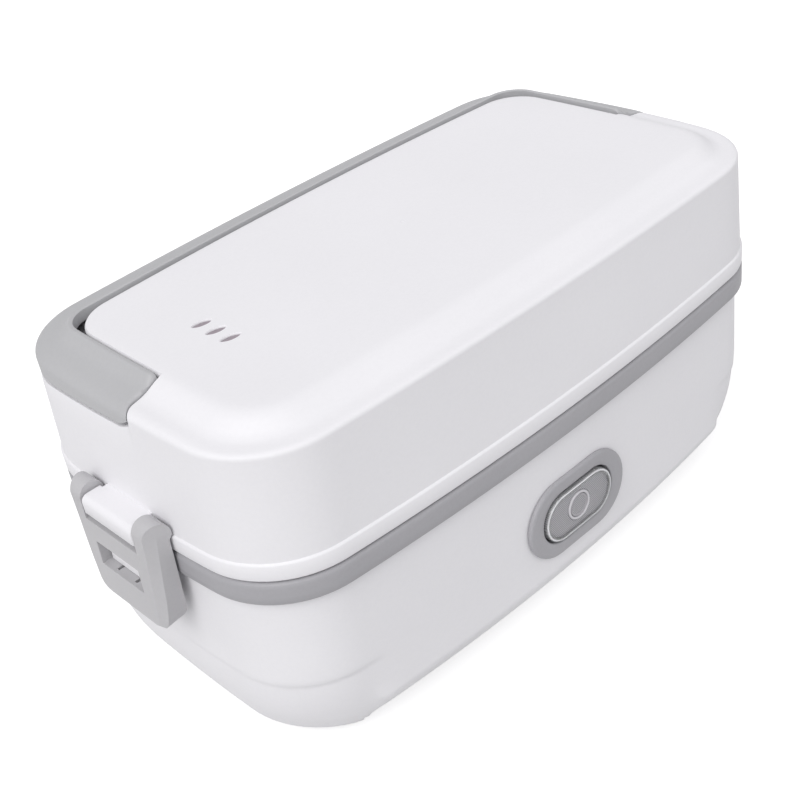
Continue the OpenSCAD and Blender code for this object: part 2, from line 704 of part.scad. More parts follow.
flap_t = 2.2;
flap_low = lid_h - flap_drop;
ledge_z = flap_low - 0.7;
ledge_foot = ledge_z - 1.2;
wall_gap = flap_t + 0.3;
wall_share = wall_gap/(crease[0] - top_half_l - 1.4);
back_wall = let (o = inset(crease, wall_gap), w = whole(quarter(o, slanted(wall_share)), quarter(o, end_stations)))
    [for (i = [0:count - 1]) w[i] + [0, hollow(wall_share, crease_ring[i][1])]];
floor_z = lid_h - 8.3;
ceiling_z = lid_h - 2.4;
module lid_body() {
    loft([
        level(top_ring(2), lid_h),
        level(flat_ring, lid_h - 0.2),
        row(shoulder(0.93), lid_h - 0.4, shoulder(0.985), lid_h - 0.8),
        row(shoulder(0.8), lid_h - 1.1, shoulder(0.98), floor_z + 0.8, -0.1),
        row(shoulder(0.66), lid_h - 2.5, shoulder(0.8), floor_z + 0.5),
        row(shoulder(0.52), lid_h - 3.8, shoulder(0.55), floor_z + 0.3, 0.35),
        row(shoulder(0.36), lid_h - 4.5, shoulder(0.35), floor_z + 0.1, 0.6),
        row(shoulder(0.16), lid_h - 4.6, back_wall, floor_z, 0.65),
        row(shoulder(0.06), lid_h - 4.8, back_wall, mix(floor_z, ledge_z, 0.5), 0.35, 0.5),
        row(shoulder(0.015), lid_h - 5.3, back_wall, ledge_z, 0.05, 1),
        row(wall_at(shoulder_up, 0), shoulder_up, wall_at(ledge_z, 0.3, 1), ledge_z, 0, 1),
        row(wall_at(ledge_foot, 0), ledge_foot, wall_at(ledge_foot, 0, 1), ledge_foot, 0, 1),
        level(wall_at(20, 0), 20),
        level(wall_at(flange_h + 0.6, 0), flange_h + 0.6),
        level(ring(rim), flange_h),
        level(ring(rim), 0.9),
        level(ring(inset(rim, 0.5)), 0.35),
        level(ring(inset(rim, lid_wall + 0.8)), 0.35),
        level(ring(inset(rim, lid_wall + 0.8)), flange_h),
        level(wall_at(20, lid_wall), 20),
        level(wall_at(ledge_z - 4.6, lid_wall), ledge_z - 4.6),
        level(wall_at(ledge_z - 1.6, lid_wall + 2.3), ledge_z - 1.6),
        level(shoulder(0.45), floor_z - 2.2),
        level(top_ring(2.2), floor_z - 1.6),
        level(top_ring(2.4), ceiling_z)]);
}

// The lug between a latch's ears, with its pin bore
pivot_x = rim[0] + pivot_out;
pivot_z = rim_z + pivot_up;
lug_front = pivot_x + 4;
lug_low = rim_z + 3.9;
lug_high = pivot_z + 1.8;
module lug() {
    x0 = rim[0] - lid_wall - 0.4;
    along_y(-lug_half, 2*lug_half) {
        translate([x0, lug_low]) square([lug_front - 2.2 - x0, lug_high - lug_low]);
        translate([lug_front - 2.3, lug_low]) square([2.3, lug_high - 2.2 - lug_low]);
        translate([lug_front - 2.2, lug_high - 2.2]) circle(r = 2.2);
    }
}

swing_up = lid_h - 2.1;
swing_z = rim_z + swing_up;
liner_x = 78;
liner_y = 30;
liner_t = 1.6;
liner_low = rim_z + ledge_z - 3.6;
module stub_seat() {
    x1 = top_half_l - 1;
    translate([x1 - 5.5, -swing_y - 3, rim_z + floor_z - 0.9])
        cube([5.5, 6, lid_h - floor_z - 0.2]);
}

module vent_slots(h) {
    for (i = [-1:1]) translate([-rim[0]*0.65, -1.3 - i*vent_pitch, 0]) rotate([0, 0, -12])
        linear_extrude(h) stadium(vent_l, vent_w);
}

module lid_shell() color(white) {
    difference() {
        union() {
            lid_body();
            both_ends() lug();
            both_ends() stub_seat();
            four(liner_x, liner_y) translate([0, 0, liner_low + liner_t])
                cylinder(r = 3, h = rim_z + ceiling_z + 0.5 - liner_low - liner_t);
        }
        both_ends() translate([pivot_x, lug_half + 1, pivot_z]) rotate([90, 0, 0])
            cylinder(r = pin_r + 0.02, h = 2*lug_half + 2);
        both_ends() translate([stub_in - 0.4, -swing_y, swing_z]) rotate([0, 90, 0])
            cylinder(r = stub_r + slip_gap, h = 12);
        translate([0, 0, rim_z + ceiling_z - 2]) vent_slots(6);
        four(liner_x, liner_y) translate([0, 0, liner_low]) cylinder(r = 1, h = 8);
    }
}

module lid_seal() color([0.25, 0.25, 0.26]) {
    frame_ring(inset(rim, 1), lid_wall - 0.4, rim_z, 0.35);
}

module lid_liner() color([0.9, 0.9, 0.91]) {
    o = inset(crease, lid_wall + 2.4);
    difference() {
        plate(o, liner_low, liner_t);
        translate([0, 0, liner_low - 1]) vent_slots(4);
        four(liner_x, liner_y) translate([0, 0, liner_low - 1]) cylinder(r = 1.2, h = 4);
    }
}

module liner_screws() color(steel) {
    four(liner_x, liner_y) {
        translate([0, 0, liner_low - 1]) cylinder(r = 2.1, h = 1);
        translate([0, 0, liner_low - 0.1]) cylinder(r = 0.95, h = 7);
    }
}

// Bail handle: a section swept along the back and both ends, with pivot stubs at the arm ends
arm_half = top_half_l + 1.4;
arm_back = rim[1] - crease_inset - 15.9;
inner_edge = [arm_half, arm_back, side_bow*0.47, end_bow*0.2, 9];
hand_top = lid_h + handle_rise;

// Each point: share of the way in, height along the back, rise towards the arm end, height at the end
section = [[0, lid_h - 6.2, 0.2, lid_h - 5.5], [0.02, lid_h - 5.4, 0.25, lid_h - 5.1],
    [0.09, lid_h - 4.5, 0.3, lid_h - 4.65], [0.22, lid_h - 3.7, 0.3, lid_h - 4.3],
    [0.42, lid_h - 2.9, 0.2, lid_h - 4], [0.6, lid_h - 2.25, 0.15, lid_h - 2.95],
    [0.74, lid_h - 1.2, 0, lid_h - 1.7], [0.86, hand_top - 0.6, 0, lid_h - 1.6],
    [0.94, hand_top, 0, lid_h - 1.7], [1, hand_top - 0.15, 0, lid_h - 1.7],
    [1, lid_h - 2.9, 0, lid_h - 2.5], [0.8, lid_h - 4.1, 0, lid_h - 3.7],
    [0.6, lid_h - 4.8, 0, lid_h - 4.4], [0.35, lid_h - 5.3, 0, lid_h - 4.9],
    [0.24, lid_h - 5.7, 0, lid_h - 5.2]];

// Each point: share of the flap's thickness, height along the back, share of the climb
flap_section = [[1, lid_h - 6.3, 0.35], [1, flap_low + 0.4, 1], [0.8, flap_low, 1],
    [0.2, flap_low, 1], [0, flap_low + 0.5, 1]];
flap_share = flap_t/(crease[0] - arm_half);
nose_run = 2.6;
arm_stations = concat([for (s = [0, 0.15, 0.7, 1.5, nose_run]) s - arm_end], [-nose_start, -1, 2, 8]);
function arm_path(o, share) = quarter(o, [for (y = arm_stations) y + share*arm_slant*max(0, -y/arm_end)]);
function on_top(a, b) = let (swell = smooth((34 - a[1])/39),
    full = sqrt(1 - pow(1 - clamp01((a[1] + arm_end)/nose_run), 2)))
    [for (k = section) let (p = mix(a, b, k[0]))
        [p[0], p[1] + hollow(k[0], a[1]), rim_z + mix(k[3], k[1] + k[2]*swell, full)]];
function on_flap(a, b) = [for (k = flap_section) let (p = mix(a, b, k[0]))
    [p[0], p[1] + hollow(k[0]*flap_share, a[1]), rim_z + k[1] + k[2]*climb(a[1], flap_nose)]];

// The end faces run in a strip between the top and the underside, which keeps their hollow line
end_shares = concat([for (k = section) k[0]], [for (k = flap_section) k[0]*flap_share]);
function strip(i, j) = i + 1 == j ? []
    : end_shares[i + 1] <= end_shares[j - 1] ? concat([[i, i + 1, j]], strip(i + 1, j))
    : concat([[i, j - 1, j]], strip(i, j - 1));
stub_in = top_half_l - 3.3;
module handle() color(grey) {
    oa = arm_path(crease, 0);
    ia = arm_path(inner_edge, 1);
    fa = arm_path(inset(crease, flap_t), flap_share);
    n = len(oa) - 1;
    half_rows = [for (i = [0:n]) concat(on_top(oa[i], ia[i]), on_flap(oa[i], fa[i]))];
    rows = concat(half_rows,
        [for (i = [n - 1:-1:0]) [for (p = half_rows[i]) [-p[0], p[1], p[2]]]]);
    union() {
        loft(rows, cap = strip(0, len(end_shares) - 1));
        both_ends() translate([stub_in, -swing_y, swing_z]) rotate([0, 90, 0])
            cylinder(r = stub_r, h = arm_half + 1.5 - stub_in);
    }
}

// Latch, drawn on the right end: the outlines at its front, side crease and back
ear_gap = lug_half + 0.5;
ear_r = 4.2;
latch_low = pivot_z - latch_drop;
ear_top = pivot_z + ear_r;
latch_front = pivot_x + ear_r;
latch_back = rim[0] + 0.45;
function latch_outline(x, top_half, mid_half, low_half, foot_half, low) = [for (s = [-1, 1], p =
    [[top_half, ear_top + 1], [mid_half, pivot_z - 18], [low_half, low + 6],
     [foot_half, low + 1], [foot_half - 4.5, low]]) [x, s*p[0], p[1]]];
module latch_block() {
    hull() polyhedron(points = concat(
        latch_outline(latch_front + 0.7, ear_gap + 4.6, ear_gap + 3.4, ear_gap + 2.3, ear_gap - 0.6, latch_low),
        latch_outline(pivot_x - 0.4, ear_gap + 6.6, ear_gap + 5.8, ear_gap + 4.6, ear_gap + 1.4, latch_low + 0.4),
        latch_outline(rim[0] - 1, ear_gap + 7.1, ear_gap + 6.4, ear_gap + 5.3, ear_gap + 2.2, latch_low + 2.6)),
        faces = [for (i = [0:27]) [i, i + 1, i + 2]]);
}

// Side view of the latch: round ears, a front that leans out, and a back clear of the band
module latch_side() {
    ear = [for (t = [0:15:195]) [pivot_x + ear_r*cos(t), pivot_z + ear_r*sin(t)]];
    polygon(concat(ear, [[latch_back, pivot_z - 2.5], [latch_back, latch_low + 3.5],
        [latch_back + 2, latch_low + 1.2], [latch_front - 0.8, latch_low],
        [latch_front + 0.3, latch_low + 1.2], [latch_front + 0.5, latch_low + 5]]));
}

module latch() {
    difference() {
        intersection() {
            latch_block();
            along_y(-ear_gap - 8, 2*ear_gap + 16) latch_side();
        }
        translate([rim[0] - 5, -ear_gap, rim_z + 2]) cube([20, 2*ear_gap, 20]);
        translate([rim[0] - 5, -window_w/2, rim_z + window_low])
            cube([20, window_w, window_top - window_low]);
        for (s = [-1, 1]) translate([rim[0] - 5, s*4.5 - 0.4, rim_z + window_low - 1.5])
            cube([latch_front - rim[0] + 4.2, 0.8, 2]);
        translate([rim[0] - 5, -ear_gap, latch_low + 4.2])
            cube([latch_back + 10 - rim[0], 2*ear_gap, window_low + rim_z - 2.4 - latch_low - 4.2]);
        translate([pivot_x, ear_gap + pin_seat, pivot_z]) rotate([90, 0, 0])
            cylinder(r = pin_r + fit_gap, h = 2*(ear_gap + pin_seat));
    }
}

pin_seat = 3.4;
module latch_right() color(grey) latch();
module latch_left() color(grey) mirror([1, 0, 0]) latch();
module latch_pins() color(steel) {
    both_ends() translate([pivot_x, ear_gap + pin_seat - 0.3, pivot_z]) rotate([90, 0, 0])
        cylinder(r = pin_r, h = 2*(ear_gap + pin_seat - 0.3));
}

// Container, its cover with a seal and a steam plug, and the upper tray
can_rim = inset(rim, band_t + 0.4);
can_wall = inset(rim, well_inset + well_wall + 0.7);
can_flange_z = rim_z - 0.3;
can_floor_z = plate_top + gap;
module container() color(steel) {
    inner = inset(can_wall, sheet_t);
    loft([
        at(ring(inset(inner, 6.6)), can_floor_z + sheet_t),
        at(ring(inset(inner, 2.8)), can_floor_z + 3),
        at(ring(inset(inner, 1.6)), can_floor_z + 8),
        at(ring(inner), rim_z - 16),
        at(ring(inset(inner, -0.6)), can_flange_z + sheet_t),
        at(ring(can_rim), can_flange_z + sheet_t),
        at(ring(can_rim), can_flange_z),
        at(ring(inset(can_wall, -0.6)), can_flange_z),
        at(ring(can_wall), rim_z - 16),
        at(ring(inset(can_wall, 1.6)), can_floor_z + 8),
        at(ring(inset(can_wall, 2.8)), can_floor_z + 2.6),
        at(ring(inset(can_wall, 6.2)), can_floor_z)]);
}

cap_outer = inset(rim, 4.3);
cap_low = rim_z + 3;
cap_t = 1.8;
plug_x = -75;
module container_lid() color([0.9, 0.92, 0.94]) {
    difference() {
        union() {
            plate(cap_outer, cap_low, cap_t);
            frame_ring(cap_outer, 1.2, rim_z + 0.1, 3);
            frame_ring(inset(can_wall, sheet_t + 0.8), 1.4, rim_z - 3, 6.1);
            frame_ring(inset(rim, 20), 1.4, cap_low + cap_t - 0.1, tray_low - cap_low - cap_t - 0.2);
        }
        translate([plug_x, 0, cap_low - 1]) cylinder(r = 3.1, h = cap_t + 2);
    }
}

module container_seal() color([0.8, 0.82, 0.84]) {
    frame_ring(inset(can_rim, 0.6), 3, can_flange_z + sheet_t + 0.1, cap_low - can_flange_z - sheet_t - 0.15);
}

module steam_plug() color([0.75, 0.78, 0.8]) {
    translate([plug_x, 0, 0]) {
        translate([0, 0, cap_low + cap_t + 0.05]) cylinder(r = 5, h = 1.1);
        translate([0, 0, cap_low - 1]) cylinder(r = 3, h = cap_t + 1.2);
        translate([0, 0, cap_low - 1.4]) cylinder(r = 3.6, h = 1.3);
    }
}

tray_rim = inset(rim, 8);
tray_low = cap_low + cap_t + 1.6;
tray_top = liner_low - tray_clear;
module upper_tray() color([0.88, 0.9, 0.92]) {
    o = inset(rim, 10.5);
    loft([
        at(ring(inset(o, tray_wall + 8)), tray_low + tray_wall),
        at(ring(inset(o, tray_wall + 3.6)), tray_low + 3.2),
        at(ring(inset(o, tray_wall + 2.4)), tray_low + 8),
        at(ring(inset(o, tray_wall)), tray_top),
        at(ring(tray_rim), tray_top),
        at(ring(tray_rim), tray_top - tray_wall),
        at(ring(o), tray_top - tray_wall),
        at(ring(inset(o, 2.4)), tray_low + 8),
        at(ring(inset(o, 3.6)), tray_low + 2.6),
        at(ring(inset(o, 7)), tray_low)]);
}

base_shell();
rim_band();
inner_well();
bottom_cover();
feet();
cover_screws();
front_bezel();
power_button();
switch_plunger();
tact_switch();
switch_board();
indicator_leds();
board_screws();
power_inlet();
inlet_pins();
heating_plate();
ptc_heater();
heater_clamp();
clamp_screws();
thermostat();
thermal_fuse();
fuse_leads();
lead_live();
lead_switched();
lead_neutral();
lid_shell();
lid_seal();
lid_liner();
liner_screws();
handle();
latch_left();
latch_right();
latch_pins();
container();
container_lid();
container_seal();
steam_plug();
upper_tray();
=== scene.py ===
import math

import bmesh
import bpy
from mathutils import Matrix, Vector


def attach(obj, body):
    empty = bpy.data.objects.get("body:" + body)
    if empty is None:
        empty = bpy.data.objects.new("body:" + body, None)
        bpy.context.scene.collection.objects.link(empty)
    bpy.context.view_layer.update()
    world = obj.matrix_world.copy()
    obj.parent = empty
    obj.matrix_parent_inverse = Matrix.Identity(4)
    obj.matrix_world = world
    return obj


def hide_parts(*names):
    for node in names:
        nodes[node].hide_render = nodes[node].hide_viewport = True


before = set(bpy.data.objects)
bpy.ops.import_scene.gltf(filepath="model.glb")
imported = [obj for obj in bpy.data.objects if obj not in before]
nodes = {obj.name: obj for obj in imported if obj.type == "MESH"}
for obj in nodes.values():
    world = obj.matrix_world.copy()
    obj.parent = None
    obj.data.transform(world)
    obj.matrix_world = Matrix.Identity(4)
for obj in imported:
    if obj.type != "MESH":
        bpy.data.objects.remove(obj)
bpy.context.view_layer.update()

MM = 0.001

# Heights and outlines of the box, in millimetres. Heights called "up" count from the rim plane. An
# outline is half its length, half its width, the bow of its sides and of its ends, and its corner
# radius.
RIM_Z = 75.6
LID_H = 44.7
BASE_H = 74.7
BAND_H = 7.8
FLOOR_UP = 36.4
FLAP_LOW = 33.5
LEDGE_UP = 32.8
WALL_FOOT, WALL_TOP = 6, 37.6
ARM_END = 9.1
ARM_SLANT = 2.6
ARM_WIDE = 13.4
END_GAP, END_WALL = 0.3, 0.45
SWING_Y = 3.0
SWING_UP = 42.6
TOP_SHIFT = 1.8
RIM = (115, 64.2, 7, 5.5, 29)
CREASE = (112.3, 61.5, 3.92, 3.3, 27.55)
FLAT_TOP = (97.5, 46.4, 3.5, 1.1, 14)
ARM_INNER = (98.9, 45.6, 3.29, 1.1, 9)
BUTTON_UP = -37.2
WALL_X, WALL_Y = 112.8, 62.0
FRONT_Y = -(WALL_Y + 0.05)


# Camera, light and floor

SENSOR = 36
PHOTO_WIDE = 800
FOCAL_PIXELS = 1300.85


def photo_camera():
    """The view of the photograph, found from the box's own outlines in half lengths of the rim."""
    turn = Vector((1.980973, -0.890673, 0.297499))
    to_camera = Matrix.Rotation(turn.length, 3, turn.normalized())
    offset = Vector((0.060378, -0.159411, 3.713569))*(RIM[0]*MM)
    place = to_camera.transposed() @ -offset + Vector((0, 0, RIM_Z*MM))
    right, down, forward = to_camera[0], to_camera[1], to_camera[2]
    camera = bpy.data.objects.new("photo_camera", bpy.data.cameras.new("photo_camera"))
    camera.data.sensor_width = SENSOR
    camera.data.lens = FOCAL_PIXELS*SENSOR/PHOTO_WIDE
    camera.data.clip_start = 0.01
    camera.matrix_world = Matrix((
        (right[0], -down[0], -forward[0], place[0]),
        (right[1], -down[1], -forward[1], place[1]),
        (right[2], -down[2], -forward[2], place[2]),
        (0, 0, 0, 1)))
    bpy.context.scene.collection.objects.link(camera)
    bpy.context.scene.camera = camera


def sun(name, towards, strength, spread, colour=(1, 1, 1)):
    lamp = bpy.data.lights.new(name, "SUN")
    lamp.energy = strength
    lamp.angle = math.radians(spread)
    lamp.color = colour
    holder = bpy.data.objects.new(name, lamp)
    holder.rotation_euler = Vector(towards).to_track_quat("-Z", "Y").to_euler()
    bpy.context.scene.collection.objects.link(holder)


def seen_directly(tree):
    """1 for rays from the camera, and for those that glossy and clear surfaces send on."""
    path = tree.nodes.new("ShaderNodeLightPath")
    first = tree.nodes.new("ShaderNodeMath")
    first.operation = "MAXIMUM"
    tree.links.new(path.outputs["Is Camera Ray"], first.inputs[0])
    tree.links.new(path.outputs["Is Transmission Ray"], first.inputs[1])
    both = tree.nodes.new("ShaderNodeMath")
    both.operation = "MAXIMUM"
    tree.links.new(first.outputs[0], both.inputs[0])
    tree.links.new(path.outputs["Is Glossy Ray"], both.inputs[1])
    return both.outputs[0]


def studio():
    bpy.context.scene.view_settings.view_transform = "Standard"
    world = bpy.data.worlds.new("studio")
    world.use_nodes = True
    bpy.context.scene.world = world
    tree = world.node_tree
    tree.nodes.clear()
    soft = tree.nodes.new("ShaderNodeBackground")
    soft.inputs["Color"].default_value = (0.98, 0.98, 1, 1)
    soft.inputs["Strength"].default_value = 0.63
    white = tree.nodes.new("ShaderNodeBackground")
    white.inputs["Color"].default_value = (1, 1, 1, 1)
    white.inputs["Strength"].default_value = 1
    mix = tree.nodes.new("ShaderNodeMixShader")
    out = tree.nodes.new("ShaderNodeOutputWorld")
    path = tree.nodes.new("ShaderNodeLightPath")
    tree.links.new(path.outputs["Is Camera Ray"], mix.inputs[0])
    tree.links.new(soft.outputs[0], mix.inputs[1])
    tree.links.new(white.outputs[0], mix.inputs[2])
    tree.links.new(mix.outputs[0], out.inputs[0])
    sun("key_light", (0.56, 0.26, -0.60), 1.58, 44, (1, 0.995, 0.99))
    sun("fill_light", (-0.3, 0.5, -0.7), 0.25, 60)

    bm = bmesh.new()
    bmesh.ops.create_grid(bm, x_segments=1, y_segments=1, size=30)
    mesh = bpy.data.meshes.new("studio_floor")
    bm.to_mesh(mesh)
    bm.free()
    floor = bpy.data.objects.new("studio_floor", mesh)
    bpy.context.scene.collection.objects.link(floor)
    paint = bpy.data.materials.new("studio_floor")
    paint.use_nodes = True
    tree = paint.node_tree
    tree.nodes.clear()
    matt = tree.nodes.new("ShaderNodeBsdfDiffuse")
    matt.inputs["Color"].default_value = (0.55, 0.55, 0.55, 1)
    glow = tree.nodes.new("ShaderNodeEmission")
    glow.inputs["Strength"].default_value = 0.62
    direct = tree.nodes.new("ShaderNodeAddShader")
    mix = tree.nodes.new("ShaderNodeMixShader")
    out = tree.nodes.new("ShaderNodeOutputMaterial")
    tree.links.new(matt.outputs[0], direct.inputs[0])
    tree.links.new(glow.outputs[0], direct.inputs[1])
    tree.links.new(seen_directly(tree), mix.inputs[0])
    tree.links.new(matt.outputs[0], mix.inputs[1])
    tree.links.new(direct.outputs[0], mix.inputs[2])
    tree.links.new(mix.outputs[0], out.inputs[0])
    mesh.materials.append(paint)


photo_camera()
studio()


# Materials

def linear(value):
    value = value/255
    return value/12.92 if value <= 0.04045 else ((value + 0.055)/1.055)**2.4


def tone(r, g, b):
    return (linear(r), linear(g), linear(b), 1)


def new_group(name, inputs, outputs):
    """A shader node group with (name, kind, value) inputs and (name, kind) outputs."""
    group = bpy.data.node_groups.new(name, "ShaderNodeTree")
    for label, kind, value in inputs:
        socket = group.interface.new_socket(label, in_out="INPUT", socket_type=kind)
        if value is not None:
            socket.default_value = value
    for label, kind in outputs:
        group.interface.new_socket(label, in_out="OUTPUT", socket_type=kind)
    return group, group.nodes.new("NodeGroupInput"), group.nodes.new("NodeGroupOutput")


def noise(tree, vector, scale, detail, roughness=0.5):
    node = tree.nodes.new("ShaderNodeTexNoise")
    node.inputs["Detail"].default_value = detail
    node.inputs["Roughness"].default_value = roughness
    tree.links.new(vector, node.inputs["Vector"])
    if isinstance(scale, (int, float)):
        node.inputs["Scale"].default_value = scale
    else:
        tree.links.new(scale, node.inputs["Scale"])
    return node.outputs["Fac"]


def spread(tree, value, low, high):
    """Takes the middle of a noise to 0 and 1."""
    node = tree.nodes.new("ShaderNodeMapRange")
    node.inputs["From Min"].default_value = low
    node.inputs["From Max"].default_value = high
    tree.links.new(value, node.inputs["Value"])
    return node.outputs["Result"]


def mix_colour(tree, share, a, b):
    node = tree.nodes.new("ShaderNodeMix")
    node.data_type = "RGBA"
    tree.links.new(share, node.inputs["Factor"])
    for source, name in ((a, 6), (b, 7)):
        if isinstance(source, tuple):
            node.inputs[name].default_value = source
        else:
            tree.links.new(source, node.inputs[name])
    return node.outputs[2]


def moulding_tint():
    """Slow flow marks and a fine speckle, between two colours."""
    group, given, out = new_group("moulding_tint", [
        ("Vector", "NodeSocketVector", None), ("Colour", "NodeSocketColor", (1, 1, 1, 1)),
        ("Shade", "NodeSocketColor", (0.9, 0.9, 0.9, 1)), ("Flow size", "NodeSocketFloat", 18.0),
        ("Speckle size", "NodeSocketFloat", 900.0)], [("Colour", "NodeSocketColor")])
    flow = spread(group, noise(group, given.outputs["Vector"], given.outputs["Flow size"], 3), 0.3, 0.7)
    speck = noise(group, given.outputs["Vector"], given.outputs["Speckle size"], 2)
    speck = spread(group, speck, 0.35, 0.8)
    join = group.nodes.new("ShaderNodeMath")
    join.operation = "MULTIPLY_ADD"
    join.inputs[1].default_value = 0.45
    group.links.new(speck, join.inputs[0])
    part = group.nodes.new("ShaderNodeMath")
    part.operation = "MULTIPLY"
    part.inputs[1].default_value = 0.55
    group.links.new(flow, part.inputs[0])
    group.links.new(part.outputs[0], join.inputs[2])
    group.links.new(mix_colour(group, join.outputs[0], given.outputs["Colour"], given.outputs["Shade"]),
                    out.inputs["Colour"])
    return group


def sheen_patches():
    """Roughness that changes a little from place to place, as hands and polishing leave it."""
    group, given, out = new_group("sheen_patches", [
        ("Vector", "NodeSocketVector", None), ("Smooth", "NodeSocketFloat", 0.3),
        ("Rough", "NodeSocketFloat", 0.5), ("Size", "NodeSocketFloat", 30.0)],
        [("Roughness", "NodeSocketFloat")])
    patch = spread(group, noise(group, given.outputs["Vector"], given.outputs["Size"], 4, 0.6), 0.3, 0.7)
    node = group.nodes.new("ShaderNodeMix")
    group.links.new(patch, node.inputs["Factor"])
    group.links.new(given.outputs["Smooth"], node.inputs["A"])
    group.links.new(given.outputs["Rough"], node.inputs["B"])
    group.links.new(node.outputs["Result"], out.inputs["Roughness"])
    return group


def skin_grain():
    """Height of the fine grain of a spark-eroded mould, over a very slight waviness."""
    group, given, out = new_group("skin_grain", [
        ("Vector", "NodeSocketVector", None), ("Grain size", "NodeSocketFloat", 1600.0),
        ("Wave size", "NodeSocketFloat", 40.0), ("Wave share", "NodeSocketFloat", 0.3)],
        [("Height", "NodeSocketFloat")])
    grain = noise(group, given.outputs["Vector"], given.outputs["Grain size"], 2)
    wave = noise(group, given.outputs["Vector"], given.outputs["Wave size"], 1)
    node = group.nodes.new("ShaderNodeMix")
    group.links.new(given.outputs["Wave share"], node.inputs["Factor"])
    group.links.new(grain, node.inputs["A"])
    group.links.new(wave, node.inputs["B"])
    group.links.new(node.outputs["Result"], out.inputs["Height"])
    return group


TINT, SHEEN, GRAIN = moulding_tint(), sheen_patches(), skin_grain()


def use_group(tree, group, vector, **values):
    node = tree.nodes.new("ShaderNodeGroup")
    node.node_tree = group
    tree.links.new(vector, node.inputs["Vector"])
    for name, value in values.items():
        node.inputs[name.replace("_", " ").capitalize()].default_value = value
    return node


def finish(name, colour, shade, smooth=0.35, rough=0.5, grain=1600, grain_depth=0.00002,
           wave_share=0.3, flow=18, speckle=900, metallic=0, stretch=None, **shader):
    """A material of moulded or rolled stock: tint, sheen and grain from the shared groups."""
    material = bpy.data.materials.new(name)
    material.use_nodes = True
    tree = material.node_tree
    body = tree.nodes["Principled BSDF"]
    vector = tree.nodes.new("ShaderNodeTexCoord").outputs["Object"]
    if stretch:
        mapping = tree.nodes.new("ShaderNodeMapping")
        mapping.inputs["Scale"].default_value = stretch
        tree.links.new(vector, mapping.inputs["Vector"])
        vector = mapping.outputs["Vector"]
    tint = use_group(tree, TINT, vector, colour=colour, shade=shade, flow_size=flow, speckle_size=speckle)
    tree.links.new(tint.outputs["Colour"], body.inputs["Base Color"])
    sheen = use_group(tree, SHEEN, vector, smooth=smooth, rough=rough)
    tree.links.new(sheen.outputs["Roughness"], body.inputs["Roughness"])
    height = use_group(tree, GRAIN, vector, grain_size=grain, wave_share=wave_share)
    bump = tree.nodes.new("ShaderNodeBump")
    bump.inputs["Distance"].default_value = grain_depth
    tree.links.new(height.outputs["Height"], bump.inputs["Height"])
    tree.links.new(bump.outputs["Normal"], body.inputs["Normal"])
    body.inputs["Metallic"].default_value = metallic
    for socket, value in shader.items():
        body.inputs[socket.replace("_", " ")].default_value = value
    return material


WHITE = finish("white_plastic", tone(236, 235, 238), tone(232, 231, 234), 0.48, 0.6)
GREY = finish("handle_grey", tone(184, 184, 186), tone(178, 178, 180), 0.46, 0.58)
LATCH_GREY = finish("latch_grey", tone(190, 189, 191), tone(184, 183, 186), 0.46, 0.58)
# Grey of the plate under the vents: painted shade for the dark inside of the slots
VENT_SHADE_GREY = finish("vent_shade_grey", tone(158, 148, 155), tone(148, 139, 146), 0.55, 0.7)
BAND_GREY = finish("band_grey", tone(168, 167, 171), tone(161, 160, 164), 0.46, 0.58)
INNER = finish("inner_plastic", tone(226, 227, 229), tone(219, 220, 222), 0.35, 0.5)
RUBBER = finish("foot_rubber", tone(120, 120, 122), tone(108, 108, 110), 0.7, 0.85, grain=700)
SILICONE = finish("seal_silicone", tone(205, 207, 210), tone(196, 198, 202), 0.45, 0.6)
DARK_SEAL = finish("rim_seal", tone(72, 72, 75), tone(62, 62, 65), 0.55, 0.7)
STEEL = finish("screw_steel", tone(190, 191, 193), tone(170, 171, 174), 0.25, 0.42, metallic=1)
STAINLESS = finish("container_steel", tone(206, 207, 209), tone(190, 191, 194), 0.2, 0.34, metallic=1,
                   grain=500, grain_depth=0.000012, stretch=(0.12, 0.12, 1))
COVER = finish("cover_plastic", tone(222, 226, 230), tone(214, 218, 223), 0.25, 0.38)
BLACK = finish("black_plastic", tone(44, 44, 46), tone(36, 36, 38), 0.4, 0.55)
BOARD = finish("board_green", tone(30, 92, 55), tone(24, 78, 46), 0.35, 0.5)
LAMP = finish("lamp_resin", tone(226, 96, 60), tone(210, 82, 50), 0.2, 0.3)
BRASS = finish("pin_brass", tone(222, 202, 150), tone(204, 182, 128), 0.18, 0.3, metallic=1)
ALUMINIUM = finish("plate_aluminium", tone(206, 207, 210), tone(192, 193, 197), 0.35, 0.5, metallic=1,
                   stretch=(0.1, 1, 1))
CERAMIC = finish("heater_ceramic", tone(214, 210, 200), tone(202, 198, 188), 0.5, 0.65)
TIN = finish("lead_tin", tone(200, 200, 204), tone(184, 184, 188), 0.3, 0.45, metallic=1)
RED = finish("lead_red", tone(176, 48, 40), tone(160, 40, 34), 0.4, 0.5)
BLUE = finish("lead_blue", tone(52, 70, 150), tone(44, 60, 134), 0.4, 0.5)


# Outlines

def mix(a, b, t):
    return a + (b - a)*t


def blend(ring_a, ring_b, t):
    return [a.lerp(b, t) for a, b in zip(ring_a, ring_b)]


def inset(shape, d):
    return (shape[0] - d, shape[1] - d, shape[2], shape[3], max(1, shape[4] - d))


def smooth(t):
    t = min(1, max(0, t))
    return t*t*(3 - 2*t)


# The handle's lower edge climbs along the arm by RISE and at its end by a nose, and the line of the
# arm end curves back by up to HOLLOW. Each has the station where it starts and the way it takes.
RISE, RISE_FROM, RISE_WAY = 2.4, 36, 45
HANDLE_NOSE, LID_NOSE, NOSE_FROM, NOSE_WAY, NOSE_POWER = 2.2, 1.6, -4, 5, 1.4
HOLLOW, HOLLOW_WAY = 13, 10


